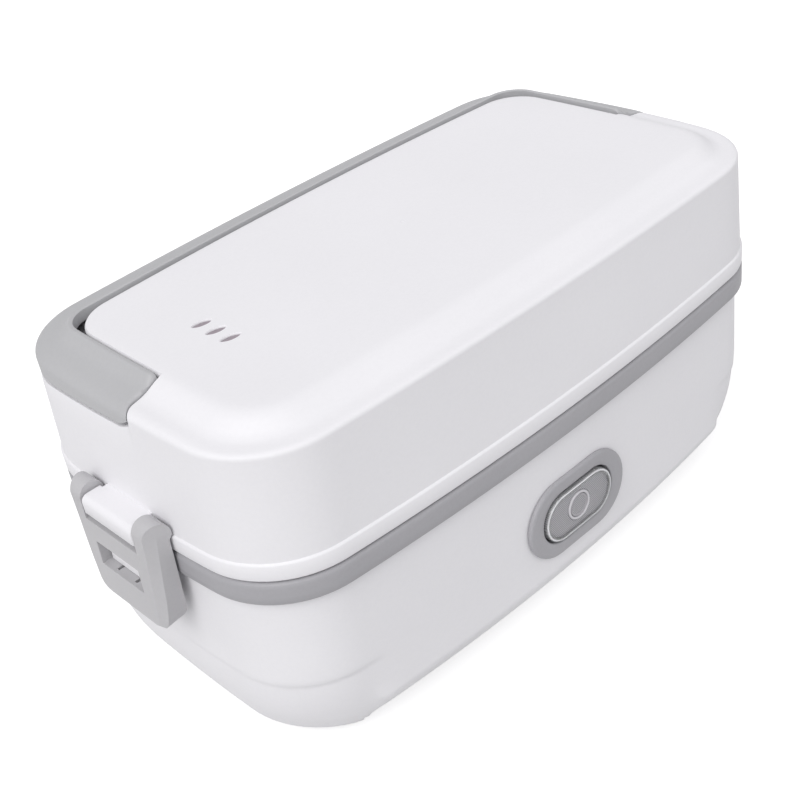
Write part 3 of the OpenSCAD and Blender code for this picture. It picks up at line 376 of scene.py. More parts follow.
def climb(y, nose=HANDLE_NOSE):
    """How much higher the handle's lower edge lies here than along the back."""
    along = min(1, max(0, (RISE_FROM - y)/RISE_WAY))
    end = min(1, max(0, (NOSE_FROM - y)/NOSE_WAY))
    return RISE*along + nose*end**NOSE_POWER


def hollow(u, y):
    """How far the line of the arm end curves back, by share of the way in and station."""
    if y >= 0:
        return 0
    near = (y/ARM_END)**2 if -y < ARM_END + END_WALL else 1 - smooth((-y - ARM_END - END_WALL)/HOLLOW_WAY)
    return HOLLOW*u*(1 - u)**2*near


# Stations from the middle of an end outwards: close together where the arms of the handle end, and
# plain for the base
STEP = [0, 2, 4, 6, 8, ARM_END + END_GAP, ARM_END + END_WALL]
PLAIN_ENDS = [0, 3, 6, 9]


def quarter(shape, ends, turns=16, sides=22, rest=8):
    """A quarter of a bowed outline, from the middle of the end to the middle of the side."""
    half_l, half_w, side_bow, end_bow, corner = shape
    side_r = (half_l**2 + side_bow**2)/(2*side_bow)
    end_r = (half_w**2 + end_bow**2)/(2*end_bow)
    side_c, end_c = Vector((0, half_w - side_r)), Vector((half_l - end_r, 0))
    near, far = side_r - corner, end_r - corner
    apart = (end_c - side_c).length
    along = (end_c - side_c)/apart
    reach = (near**2 - far**2 + apart**2)/(2*apart)
    height = math.sqrt(near**2 - reach**2)
    centre = side_c + reach*along + height*Vector((along.y, -along.x))
    side_turn = math.atan2(centre.y - side_c.y, centre.x - side_c.x)
    end_turn = math.atan2(centre.y - end_c.y, centre.x - end_c.x)
    last_y, last_x = end_r*math.sin(end_turn), side_r*math.cos(side_turn)
    ys = list(ends) + [mix(ends[-1], last_y, i/rest) for i in range(1, rest + 1)]
    points = []
    for y in ys:
        t = math.asin(y/end_r)
        points.append(end_c + end_r*Vector((math.cos(t), math.sin(t))))
    for i in range(1, turns):
        t = mix(end_turn, side_turn, i/turns)
        points.append(centre + corner*Vector((math.cos(t), math.sin(t))))
    for i in range(sides + 1):
        t = math.acos((1 - i/sides)*last_x/side_r)
        points.append(side_c + side_r*Vector((math.cos(t), math.sin(t))))
    return points


def whole(front, back):
    """The whole outline, counter-clockwise from the middle of the right end."""
    return (back + [Vector((-p.x, p.y)) for p in back[-2::-1]]
            + [Vector((-p.x, -p.y)) for p in front[1:]]
            + [Vector((p.x, -p.y)) for p in front[-2:0:-1]])


def ring(shape, ends=STEP):
    part = quarter(shape, ends)
    return whole(part, part)


def slanted(share):
    """Stations in front of the middle, drawn back as the arm ends slant towards their inner edge."""
    return [y - share*ARM_SLANT*min(1, max(0, (y - 4)/(ARM_END - 4))) for y in STEP]


def top_ring(d):
    """The edge of the flat top, which lies nearer the front."""
    shape = inset(FLAT_TOP, d)
    front = [0] + [y - TOP_SHIFT for y in slanted(1)[1:]]
    back = [0] + [y + TOP_SHIFT for y in STEP[1:]]
    return [Vector((p.x, p.y - TOP_SHIFT)) for p in whole(quarter(shape, front), quarter(shape, back))]


def at(points, up):
    return [Vector((p.x, p.y, RIM_Z + up)) for p in points]


def tangent(chord, length, step):
    """The slope of a curve at a key row, from the chords on its two sides."""
    other = step.length or 1e-9
    return (chord/length*other + step/other*length)/(length + other)*length


def rows_between(keys, counts, corners=None):
    """Adds rows between key rows: on a smooth curve that may bend at the key rows named as corners,
    or straight where corners is None."""
    rows = []
    for k, count in enumerate(counts):
        for i in range(count):
            t = i/count
            if corners is None:
                rows.append(blend(keys[k], keys[k + 1], t))
                continue
            a, b = keys[k], keys[k + 1]
            before = keys[k - 1] if k > 0 and k not in corners else None
            after = keys[k + 2] if k + 2 < len(keys) and k + 1 not in corners else None
            row = []
            for j in range(len(a)):
                chord = b[j] - a[j]
                length = chord.length or 1e-9
                start = tangent(chord, length, a[j] - before[j]) if before else chord
                end = tangent(chord, length, after[j] - b[j]) if after else chord
                s = t*t*(3 - 2*t)
                row.append(a[j] + chord*s + start*(t - 2*t*t + t**3) + end*(t**3 - t*t))
            rows.append(row)
    rows.append(keys[-1])
    return rows


# Mesh helpers

def row_edges(bm, verts):
    return [bm.edges.get((verts[i - 1], v)) for i, v in enumerate(verts)]


def join_rows(bm, row, other):
    """A ring of faces between two closed rows, in an order that is the same in every run."""
    for i in range(len(row)):
        bm.faces.new((row[i - 1], row[i], other[i], other[i - 1]))


def shell(bm, rows, closed=False, cap=None):
    """A skin through rows. closed joins the last row to the first, and otherwise both ends get a
    face, or the faces between the points that cap lists."""
    made = [[bm.verts.new(p) for p in points] for points in rows]
    for row, other in zip(made, made[1:]):
        join_rows(bm, row, other)
    if closed:
        join_rows(bm, made[-1], made[0])
    else:
        for ends in (made[0], made[-1]):
            if cap:
                for face in cap:
                    bmesh.ops.contextual_create(bm, geom=[ends[i] for i in face])
            else:
                bmesh.ops.contextual_create(bm, geom=row_edges(bm, ends))
    return bm


def stadium(w, h, steps=12):
    """Points round a shape with two straight sides and two half rounds, in X and Z."""
    r, x = h/2, (w - h)/2
    points = []
    for side in (1, -1):
        for i in range(steps + 1):
            t = math.pi*(i/steps - 0.5)
            points.append((side*(x + r*math.cos(t)), side*r*math.sin(t)))
    return points


def front_rows(outline, levels):
    """Rows about the middle of the button, along Y: each level is (y, inset of the outline)."""
    return [[Vector((x, y, z + RIM_Z + BUTTON_UP)) for x, z in outline(d)] for y, d in levels]


def to_object(name, bm):
    """Turns a mesh in millimetres into an object in metres, with its faces outwards."""
    bmesh.ops.recalc_face_normals(bm, faces=bm.faces)
    bmesh.ops.scale(bm, vec=(MM, MM, MM), verts=bm.verts)
    mesh = bpy.data.meshes.new(name)
    bm.to_mesh(mesh)
    bm.free()
    made = bpy.data.objects.new(name, mesh)
    bpy.context.scene.collection.objects.link(made)
    return made


def piece(name, bm, body, material, *replaced, bevel=0.0, segments=2, angle=35, slot=None):
    """Makes a piece of a mesh in millimetres, with its material, edges, body and CAD nodes. slot is not
    used.
    """
    bmesh.ops.remove_doubles(bm, verts=bm.verts, dist=0.0005)
    made = to_object(name, bm)
    mesh = made.data
    mesh.materials.append(material)
    for polygon in mesh.polygons:
        polygon.use_smooth = True
        polygon.material_index = 0
    if bevel:
        edge = made.modifiers.new("soft_edges", "BEVEL")
        edge.width = bevel*MM
        edge.segments = segments
        edge.limit_method = "ANGLE"
        edge.angle_limit = math.radians(angle)
        edge.harden_normals = True
        edge.use_clamp_overlap = True
    else:
        mesh.set_sharp_from_angle(angle=math.radians(angle))
    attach(made, body)
    if replaced:
        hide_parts(*replaced)
    return made


def cut(made, cutter_bm, operation="DIFFERENCE"):
    """Takes a solid in millimetres out of a piece, or with INTERSECT keeps only what lies in it."""
    cutter = to_object("cutter", cutter_bm)
    kept = list(made.modifiers)
    for modifier in kept:
        modifier.show_viewport = modifier.show_render = False
    tool = made.modifiers.new("cut", "BOOLEAN")
    tool.operation = operation
    tool.solver = "EXACT"
    tool.object = cutter
    graph = bpy.context.evaluated_depsgraph_get()
    fresh = bpy.data.meshes.new_from_object(made.evaluated_get(graph), depsgraph=graph)
    made.modifiers.remove(tool)
    made.data = fresh
    for modifier in kept:
        modifier.show_viewport = modifier.show_render = True
    for polygon in fresh.polygons:
        polygon.material_index = 0
    bpy.data.objects.remove(cutter)


def softened(name, node, body, material, width, slot):
    """A copy of a CAD node with its triangles merged and its edges rounded."""
    bm = bmesh.new()
    bm.from_mesh(nodes[node].data)
    bmesh.ops.scale(bm, vec=(1000, 1000, 1000), verts=bm.verts)
    bmesh.ops.remove_doubles(bm, verts=bm.verts, dist=0.002)
    bmesh.ops.dissolve_limit(bm, angle_limit=math.radians(1), verts=bm.verts, edges=bm.edges)
    return piece(name, bm, body, material, node, bevel=width, segments=3, angle=30, slot=slot)


# Lid

FOOT = inset(RIM, 0.6)
CREASE_RING, FLAT_RING = ring(CREASE), top_ring(0)
UNDER_HANDLE = [p.y > -(ARM_END + mix(END_GAP, END_WALL, 0.5)) for p in CREASE_RING]
BACK_IN = 2.5
END_NEAR, END_FAR = 20, 50
# The front half of the shoulder: share of the way in, height, rise towards the ends of the lid
SHOULDER = [(0.93, 44.35, 0), (0.8, 43.65, -0.1), (0.66, 42.3, 0), (0.52, 40.95, 0.35),
            (0.38, 40.25, 0.6), (0.18, 40.05, 0.65), (0.07, 39.85, 0.35), (0.015, 39.35, 0.05)]


def wall_at(up, d=0.0, share=0.0):
    """The lid's outer wall at a height, which may follow the climb of the handle's lower edge."""
    row = []
    for a, b, c, under in zip(ring(inset(FOOT, d)), ring(inset(CREASE, d)), CREASE_RING, UNDER_HANDLE):
        z = up + (share*climb(c.y, LID_NOSE) if under else 0)
        p = a.lerp(b, (z - WALL_FOOT)/(WALL_TOP - WALL_FOOT))
        row.append(Vector((p.x, p.y, RIM_Z + z)))
    return row


def shoulder(u):
    """The outline between the crease and the flat top, by share of the way in."""
    return [p + Vector((0, hollow(u, c.y)))
            for p, c in zip(blend(CREASE_RING, FLAT_RING, u), CREASE_RING)]


def raised(points, up, rise):
    """A row of the shoulder, fuller towards the ends of the lid."""
    return [Vector((p.x, p.y, RIM_Z + up + rise*smooth((END_FAR - abs(c.y))/(END_FAR - END_NEAR))))
            for p, c in zip(points, CREASE_RING)]


def lid_rows():
    """Rows from the flat top down: over the shoulder in front and into the handle's path behind,
    then the wall and the flange, and up again inside."""
    front = [at(top_ring(3), LID_H), at(top_ring(1.6), LID_H - 0.02), at(FLAT_RING, LID_H - 0.15)]
    front += [raised(shoulder(u), up, rise) for u, up, rise in SHOULDER] + [wall_at(WALL_TOP)]
    shape = inset(CREASE, BACK_IN)
    back_wall = whole(quarter(shape, slanted(BACK_IN/ARM_WIDE)), quarter(shape, STEP))
    back_wall = [p + Vector((0, hollow(BACK_IN/ARM_WIDE, c.y))) for p, c in zip(back_wall, CREASE_RING)]
    back = [at(top_ring(3), LID_H), at(top_ring(1.2), LID_H - 0.02), at(top_ring(0.25), LID_H - 0.15)]
    back += [at(shoulder(u), up) for u, up in (
        (0.985, LID_H - 0.8), (0.98, FLOOR_UP + 0.8), (0.8, FLOOR_UP + 0.5), (0.55, FLOOR_UP + 0.3),
        (0.35, FLOOR_UP + 0.1))]
    back.append(at(back_wall, FLOOR_UP))
    for up, share in ((mix(FLOOR_UP, LEDGE_UP, 0.5), 0.5), (LEDGE_UP, 1)):
        back.append([Vector((p.x, p.y, RIM_Z + up + share*climb(c.y, LID_NOSE)))
                     for p, c in zip(back_wall, CREASE_RING)])
    back.append(wall_at(LEDGE_UP, 0.3, 1))
    counts = [1, 2, 3, 4, 4, 4, 4, 3, 3, 3, 3]
    front = rows_between(front, counts, corners={0, len(counts)})
    back = rows_between(back, counts)
    rows = [[b if under else f for f, b, under in zip(front_row, back_row, UNDER_HANDLE)]
            for front_row, back_row in zip(front, back)]
    rows += [wall_at(LEDGE_UP - 1.2, 0, 1), wall_at(26), wall_at(18), wall_at(11), wall_at(6.6),
             wall_at(6.35, 0.02)]
    flange = [(0.45, 6.12), (0.15, 5.95), (0, 5.6), (0, 3), (0, 1.1), (0.12, 0.7), (0.45, 0.45),
              (0.9, 0.35), (3.1, 0.35), (3.1, 6)]
    rows += [at(ring(inset(RIM, d)), up) for d, up in flange]
    rows += [wall_at(20, 2.3), wall_at(28, 2.3), wall_at(LEDGE_UP - 1.6, 4.6)]
    return rows + [at(shoulder(0.45), FLOOR_UP - 2.2), at(top_ring(2.2), FLOOR_UP - 1.6),
                   at(top_ring(2.4), LID_H - 2.4)]


def prism(bm, profile, y0, y1, mirrored=False):
    """A block with a profile in X and Z, from y0 to y1."""
    side = -1 if mirrored else 1
    shell(bm, [[Vector((side*x, y, z)) for x, z in profile] for y in (y0, y1)])


def block(bm, x, y, up):
    """A box between two values each way, with up counted from the rim plane."""
    made = bmesh.ops.create_cube(bm, size=1)["verts"]
    bmesh.ops.scale(bm, vec=(x[1] - x[0], y[1] - y[0], up[1] - up[0]), verts=made)
    middle = Vector((x[0] + x[1], y[0] + y[1], up[0] + up[1]))/2 + Vector((0, 0, RIM_Z))
    bmesh.ops.translate(bm, vec=middle, verts=made)


# A latch lug: where it starts and how far out it lies, its foot and top, its nose and half its width
LUG_IN, LUG_OUT, LUG_LOW, LUG_TOP, LUG_NOSE, LUG_HALF = 112.4, 122.6, 79.5, 85.6, 2.2, 12.4
# The vent slots: the middle one's place, their turn in degrees and the step from one to the next,
# half length and half width, and the power that makes their ends pointed
VENT_X, VENT_Y, VENT_TURN, VENT_STEP = -74.75, -1.3, -12, 6.7
VENT_LONG, VENT_WIDE, VENT_POINT = 3.15, 1.35, 1.25
# Height of the grey plate of painted shade under the vent slots
VENT_SHADE_UP = 42.3
DOT_R = 0.9


def lug_profile():
    nose = [(LUG_OUT - LUG_NOSE + LUG_NOSE*math.cos(t), LUG_TOP - LUG_NOSE + LUG_NOSE*math.sin(t))
            for t in (math.radians(i*11.25) for i in range(9))]
    foot = [(LUG_IN, LUG_LOW), (LUG_OUT - 0.4, LUG_LOW), (LUG_OUT, LUG_LOW + 0.5)]
    return foot + nose + [(LUG_IN, LUG_TOP)]


def vent_rows(levels, place):
    """Rows of a lens shaped slot: each level is (up, growth)."""
    turn = Matrix.Rotation(math.radians(VENT_TURN), 3, "Z")
    angles = [i*math.pi/16 for i in range(32)]
    lens = [(math.cos(t), math.copysign(abs(math.sin(t))**VENT_POINT, math.sin(t))) for t in angles]
    rows = []
    for up, grow in levels:
        middle = Vector((VENT_X, VENT_Y - place*VENT_STEP, RIM_Z + up))
        rows.append([turn @ Vector(((VENT_LONG + grow)*x, (VENT_WIDE + grow)*y, 0)) + middle
                     for x, y in lens])
    return rows


def lid_cutter():
    """The vent slots with their rounded rims, and the shallow dot in the middle of the lid."""
    bm = bmesh.new()
    levels = ((FLOOR_UP - 2.4, 0), (LID_H - 0.5, 0), (LID_H - 0.25, 0.06), (LID_H - 0.1, 0.16),
              (LID_H + 0.5, 0.5))
    for i in (-1, 0, 1):
        shell(bm, vent_rows(levels, i))
    dot = [Vector((DOT_R*math.cos(t), DOT_R*math.sin(t), 0)) for t in (i*math.pi/12 for i in range(24))]
    shell(bm, [at(dot, up) for up in (LID_H - 0.12, LID_H + 0.5)])
    return bm


def make_lid():
    lid = piece("lid_case", shell(bmesh.new(), lid_rows()), "lid", WHITE, "lid_shell", bevel=0.22, angle=40,
                slot="white_shell")
    cut(lid, lid_cutter())
    bm = bmesh.new()
    for mirrored in (False, True):
        prism(bm, lug_profile(), -LUG_HALF, LUG_HALF, mirrored)
    lugs = piece("latch_lugs", bm, "lid", WHITE, bevel=0.45, segments=3, angle=40, slot="white_shell")
    notches = bmesh.new()
    for side in (-1, 1):
        for end in (-1, 1):
            block(notches, sorted((side*111, side*115.7)), sorted((end*11.1, end*13)), (3, 12))
    cut(lugs, notches)
    # A grey plate under the vents, with lens shaped plugs that rise into the slots to just under the top:
    # painted shade in place of the dark inside of the slots.
    vent_shade = bmesh.new()
    block(vent_shade, (-81, -68.5), (-14, 11.5), (41, VENT_SHADE_UP))
    for i in (-1, 0, 1):
        shell(vent_shade, vent_rows(((VENT_SHADE_UP, -0.1), (VENT_SHADE_UP + 1.85, -0.1)), i))
    piece("vent_shade_plate", vent_shade, "lid", VENT_SHADE_GREY, bevel=0.1, slot="grey_plastic")


make_lid()


# Handle

# The handle's section: share of the way in, height along the back, rise towards the arm end, height
# at the end
SECTION_TOP = [(0, 38.5, 0.2, 39.2), (0.02, 39.3, 0.25, 39.6), (0.09, 40.2, 0.3, 40.05),
               (0.22, 41.0, 0.3, 40.4), (0.42, 41.8, 0.2, 40.7), (0.6, 42.45, 0.15, 41.75),
               (0.74, 43.5, 0, 43.0), (0.86, 44.9, 0, 43.1), (0.94, 45.5, 0, 43.0), (1, 45.3, 0, 43.0)]
SECTION_LOW = [(1, 41.8, 0, 42.2), (0.8, 40.6, 0, 41.0), (0.6, 39.9, 0, 40.3), (0.35, 39.4, 0, 39.8),
               (0.24, 39.0, 0, 39.5)]
# The flap under its outer edge: share of the flap's thickness, height, share of the climb
FLAP = [(1, FLAP_LOW + 4.9, 0.35), (1, FLAP_LOW + 0.4, 1), (0.8, FLAP_LOW, 1), (0.2, FLAP_LOW, 1)]
FLAP_IN = 2.2
ARM_STATIONS = [-ARM_END, -9.06, -8.95, -8.75, -8.45, -8.0, -7.3, -6.5, -5.5, -4, -2, 0, 2.5, 5, 8]
NOSE_LONG = 2.6
SWELL_FROM, SWELL_WAY = 34, 39
PIVOT_X, PIVOT_R, PIVOT_LONG = 97.3, 1.3, 6.2


def arm_stations(share):
    """Stations round the handle, drawn back as the arm end slants towards its inner edge."""
    return [y + share*ARM_SLANT*max(0, -y/ARM_END) for y in ARM_STATIONS]


def end_strip(shares):
    """Faces in a strip between the top and the underside of an arm end, which keep its hollow line."""
    i, j, faces = 0, len(shares) - 1, []
    while i + 1 < j:
        if shares[i + 1] <= shares[j - 1]:
            faces.append((i, i + 1, j))
            i += 1
        else:
            faces.append((i, j - 1, j))
            j -= 1
    return faces


def handle_rows():
    """Rows round the handle from one arm end to the other, and the faces that close an arm end."""
    outer = quarter(CREASE, arm_stations(0))
    inner = quarter(ARM_INNER, arm_stations(1))
    flap = quarter(inset(CREASE, FLAP_IN), arm_stations(FLAP_IN/ARM_WIDE))
    curves = []
    for pick in (lambda k: k[1], lambda k: k[1] + k[2], lambda k: k[3]):
        keys = [[Vector((k[0], pick(k), 0))] for k in SECTION_TOP]
        top = rows_between(keys, [2, 2, 3, 3, 3, 3, 3, 3, 3], corners={0})
        curves.append([row[0] for row in top] + [Vector((k[0], pick(k), 0)) for k in SECTION_LOW])
    rows = []
    for a, b, f in zip(outer, inner, flap):
        swell = smooth((SWELL_FROM - a.y)/SWELL_WAY)
        near = min(1, max(0, (a.y + ARM_END)/NOSE_LONG))
        full = math.sqrt(1 - (1 - near)**2)
        loop = [(a, FLAP_LOW + 0.5 + climb(a.y))]
        for plain, high, end in zip(*curves):
            p = end.lerp(plain.lerp(high, swell), full)
            loop.append((a.lerp(b, p.x) + Vector((0, hollow(p.x, a.y))), p.y))
        for u, z, share in FLAP:
            loop.append((a.lerp(f, u) + Vector((0, hollow(u*FLAP_IN/ARM_WIDE, a.y))), z + share*climb(a.y)))
        rows.append([Vector((p.x, p.y, RIM_Z + z)) for p, z in loop])
    mirrored = [[Vector((-p.x, p.y, p.z)) for p in row] for row in rows[-2::-1]]
    shares = [0] + [p.x for p in curves[0]] + [u*FLAP_IN/ARM_WIDE for u, _, _ in FLAP]
    return rows + mirrored, end_strip(shares)


def make_handle():
    rows, cap = handle_rows()
    bm = shell(bmesh.new(), rows, cap=cap)
    across = Matrix.Rotation(math.pi/2, 4, "Y")
    for side in (-1, 1):
        place = Matrix.Translation((side*PIVOT_X, -SWING_Y, RIM_Z + SWING_UP)) @ across
        bmesh.ops.create_cone(bm, cap_ends=True, segments=32, radius1=PIVOT_R, radius2=PIVOT_R,
                              depth=PIVOT_LONG, matrix=place)
    piece("carry_handle", bm, "handle", GREY, "handle", bevel=0.35, segments=3, angle=32,
          slot="grey_plastic")


make_handle()


# Base

# How the base draws in below the depth where its ends turn, and its sides further down: the way in
# at the foot of the ends, corners and sides, their powers, and the foot's corner radius and bows
UNDER = {"turn": 36, "end": 11.1, "corner": 8.2, "power": 2.79, "radius": 33.7, "side_bow": 8,
         "end_bow": 0.8, "side_turn": 57.4, "side": 12.65, "side_power": 1.37}
CORNER_R = 26.8
# The fine step round the wall, and where the long sides give over to the corners
STEP_DEPTH, STEP_HIGH, STEP_IN = 41, 0.5, 0.3
SIDE_HALF, SIDE_FADE = 85.5, 4
LIP_DEPTH = 9.4
FLOOR_OPENING = (95.5, 44.7, 7, 2.5, 19)
BUTTON_HOLE = (40.1, 22.1)
INLET_HOLE = [(-11.2, -6.7), (11.2, -6.7), (11.2, 6.7), (-11.2, 6.7)]


def base_ring(depth, d=0.0):
    """The base wall at a depth below the rim: the long sides stay upright further than the corners."""
    t = max(0, (depth - UNDER["turn"])/(BASE_H - UNDER["turn"]))
    u = max(0, (depth - UNDER["side_turn"])/(BASE_H - UNDER["side_turn"]))
    end, corner = UNDER["end"]*t**UNDER["power"], UNDER["corner"]*t**UNDER["power"]
    side = UNDER["side"]*u**UNDER["side_power"]
    if depth > STEP_DEPTH:
        step = min(1, (depth - STEP_DEPTH)/STEP_HIGH)*STEP_IN
        corner += step
        end += step*0.5
    bows = (mix(RIM[2], UNDER["side_bow"], t), mix(RIM[3], UNDER["end_bow"], t))
    radius = mix(CORNER_R, UNDER["radius"], t)
    round_corners = ring(inset((WALL_X - end, WALL_Y - corner, *bows, radius), d), PLAIN_ENDS)
    long_sides = ring(inset((WALL_X - end, WALL_Y - side, *bows, radius), d), PLAIN_ENDS)
    return [p.lerp(q, smooth((SIDE_HALF - abs(p.x))/SIDE_FADE)) for p, q in zip(round_corners, long_sides)]


def make_base():
    depths = [BAND_H, 14, 22, 30, 36, 39, 40.9, 41.15, 41.4, 43, 45, 47, 49, 51, 53, 55, 56.5, 57.4, 58, 59,
              60, 61.5, 63, 64.5, 66, 67.5, 69, 70.5, 71.8, 73, 73.8, 74.4, BASE_H]
    rows = [at(base_ring(BAND_H, 1.2), -LIP_DEPTH), at(base_ring(BAND_H, 1.2), -BAND_H)]
    rows += [at(base_ring(d), -d) for d in depths]
    opening, seat = ring(FLOOR_OPENING, PLAIN_ENDS), ring(inset(FLOOR_OPENING, 3), PLAIN_ENDS)
    rows += [at(opening, -BASE_H), at(opening, 1.1 - BASE_H), at(seat, 1.1 - BASE_H), at(seat, 2.2 - BASE_H)]
    rows += [at(base_ring(d, 2.4), -d + 1.4) for d in (70, 64, 58, 52, 40)]
    rows.append(at(base_ring(BAND_H, 2.4), -LIP_DEPTH))
    bm = shell(bmesh.new(), rows, closed=True)
    base = piece("base_case", bm, "base", WHITE, "base_shell", bevel=0.2, angle=50, slot="white_shell")
    holes = bmesh.new()
    shell(holes, front_rows(lambda d: stadium(*BUTTON_HOLE), ((-66, 0), (-56, 0))))
    shell(holes, front_rows(lambda d: INLET_HOLE, ((56, 0), (66, 0))))
    cut(base, holes)
    low, high = RIM_Z - 13.15, RIM_Z - 8.2
    catch = [(111.7, low), (120.2, low), (120.2, low + 2.6), (117.6, high), (111.7, high)]
    bm = bmesh.new()
    for mirrored in (False, True):
        prism(bm, catch, -9.6, 9.6, mirrored)
    piece("latch_catches", bm, "base", WHITE, bevel=0.35, segments=3, angle=30, slot="white_shell")


make_base()


def make_band():
    levels = [(5.5, -BAND_H), (0.5, -BAND_H), (0.2, 0.1 - BAND_H), (0, 0.4 - BAND_H), (0, -5), (0, -2.4),
              (0, -1.25), (0.25, -0.85), (0.6, -0.5), (0.95, -0.3), (1.5, -0.25), (5.5, -0.25)]
    bm = shell(bmesh.new(), [at(ring(inset(RIM, d), PLAIN_ENDS), up) for d, up in levels], closed=True)
    piece("rim_trim", bm, "base", BAND_GREY, "rim_band", bevel=0.15, angle=50, slot="grey_plastic")


make_band()


# Latches

# Height from the rim plane, how far out the front lies and its half width, how far out the crease
# between the slanting face and the side lies and its half width, half width at the back
LATCH_LEVELS = [
    (-25.5, 122.3, 10.4, 121.7, 12.6, 12.2), (-25.2, 122.85, 11.6, 122.1, 14.0, 13.2),
    (-24.2, 123.15, 13.2, 122.4, 16.0, 15.0), (-22.8, 123.28, 14.4, 122.4, 17.3, 16.5),
    (-21, 123.3, 15.0, 122.2, 18.0, 17.3), (-18.6, 123.25, 15.3, 121.9, 18.4, 17.9),
    (-14, 123.15, 15.9, 121.3, 18.7, 18.4), (-7, 122.95, 16.6, 120.6, 18.9, 19.1),
    (0, 122.7, 17.2, 119.8, 19.1, 19.7), (8.2, 122.5, 17.9, 118.9, 19.4, 20.3),
    (13.5, 122.5, 18.2, 118.6, 19.5, 20.5)]
LATCH_BACK = 114
# The latch's pin, the radius of the ear above it, and how far its back and front reach
PIN_X, PIN_UP, EAR_R, EAR_BACK_R = 118.6, 8.2, 4.2, 4.0
LATCH_IN, LATCH_OUT, LATCH_LOW = 115.45, 123.9, -25.5
# What is taken out of a latch, as values out, across and up: room for the lug, the window over the
# catch, the hollow behind the foot, and two grooves under the window
LATCH_CUTS = [((110, 130), (-12.9, 12.9), (2, 20)), ((110, 130), (-10.6, 10.6), (-13.4, -5.2)),
              ((110, 120.45), (-12.9, 12.9), (-21.3, -15.8))]
LATCH_GROOVES = [((110, 121.9), (y - 0.55, y + 0.55), (-15.4, -12.9)) for y in (-4.5, 4.5)]


def latch_side():
    """The latch seen along its pin: a round ear, a straight back clear of the band, and its foot."""
    ear = [(PIN_X + (EAR_BACK_R if t < 1.5 else EAR_R)*math.cos(t), PIN_UP + EAR_R*math.sin(t))
           for t in (math.radians(i*7.5) for i in range(27))]
    return ear + [(LATCH_IN, 5.7), (LATCH_IN, -22), (117.45, -24.3), (120.9, LATCH_LOW),
                  (LATCH_OUT, LATCH_LOW), (LATCH_OUT, PIN_UP)]


def make_latch(side):
    name = "left" if side < 0 else "right"
    rows = []
    for up, out, half, crease, wide, rear in LATCH_LEVELS:
        corner_points = ((out, half), (crease, wide), (LATCH_BACK, rear))
        near = [Vector((x, y, RIM_Z + up)) for x, y in corner_points]
        row = near + [Vector((p.x, -p.y, p.z)) for p in reversed(near)]
        rows.append([Vector((side*p.x, p.y, p.z)) for p in row])
    plate = piece("latch_plate_" + name, shell(bmesh.new(), rows), "latch_" + name, LATCH_GREY,
                  "latch_" + name, bevel=0.6, segments=3, angle=14, slot="grey_plastic")
    outline = bmesh.new()
    prism(outline, [(x, RIM_Z + up) for x, up in latch_side()], -22, 22, side < 0)
    cut(plate, outline, "INTERSECT")
    for boxes in (LATCH_CUTS, LATCH_GROOVES):
        bm = bmesh.new()
        for x, y, up in boxes:
            block(bm, sorted((side*x[0], side*x[1])), y, up)
        cut(plate, bm)


for side in (-1, 1):
    make_latch(side)


# Button and inlet

# Length and height of the bezel, its hole, the guide and barrel behind it, the button, the ribbed plate
# under its clear face and the white rim of painted highlight on that face. Depths count back from the
# bezel's foot, and the face lies in front of it.
BEZEL_SIZE, BEZEL_HOLE, GUIDE_SIZE, BARREL_SIZE = (45, 27.6), (33, 18.7), (36, 20.2), (39.6, 21.6)
BUTTON_SIZE, RIBS_SIZE, HIGHLIGHT_RIM_SIZE = (31.5, 17.2), (28.6, 14.3), (30.2, 15.9)
GUIDE_DEPTH, BARREL_DEPTH = 1.5, 6.85
FACE_Y = FRONT_Y - 2.1
RING_R, RING_WIDE, RING_DEEP, GROOVE_OUT, GROOVE_IN = 4.62, 0.5, 0.42, 5.3, 4.0


def shrinking(w, h):
    """A stadium as a function of its inset."""
    return lambda d: stadium(w - 2*d, h - 2*d, 20)


def make_bezel():
    outside = front_rows(shrinking(*BEZEL_SIZE), [
        (FRONT_Y, 0.08), (FRONT_Y - 0.3, 0), (FRONT_Y - 0.9, 0.06), (FRONT_Y - 1.2, 0.2),
        (FRONT_Y - 1.42, 0.5), (FRONT_Y - 1.52, 0.95), (FRONT_Y - 1.54, 2.0), (FRONT_Y - 1.52, 3.6)])
    inside = front_rows(shrinking(*BEZEL_HOLE), [
        (FRONT_Y - 1.46, -0.4), (FRONT_Y - 1.3, -0.12), (FRONT_Y - 1.0, 0), (FRONT_Y + 1.4, 0)])
    guide = front_rows(shrinking(*GUIDE_SIZE), [(FRONT_Y + GUIDE_DEPTH, 0), (FRONT_Y + BARREL_DEPTH, 0)])
    barrel = front_rows(shrinking(*BARREL_SIZE), [(FRONT_Y + BARREL_DEPTH, 0), (FRONT_Y, 0)])
    bm = shell(bmesh.new(), outside + inside + guide + barrel, closed=True)
    piece("button_bezel", bm, "base", BAND_GREY, "front_bezel", bevel=0.12, angle=50, slot="grey_plastic")


def clear_plastic():
    material = finish("clear_plastic", (0.93, 0.94, 0.95, 1), (0.9, 0.91, 0.92, 1), 0.04, 0.1,
                      grain_depth=0.000004)
    body = material.node_tree.nodes["Principled BSDF"]
    body.inputs["Transmission Weight"].default_value = 0.85
    body.inputs["IOR"].default_value = 1.49
    return material


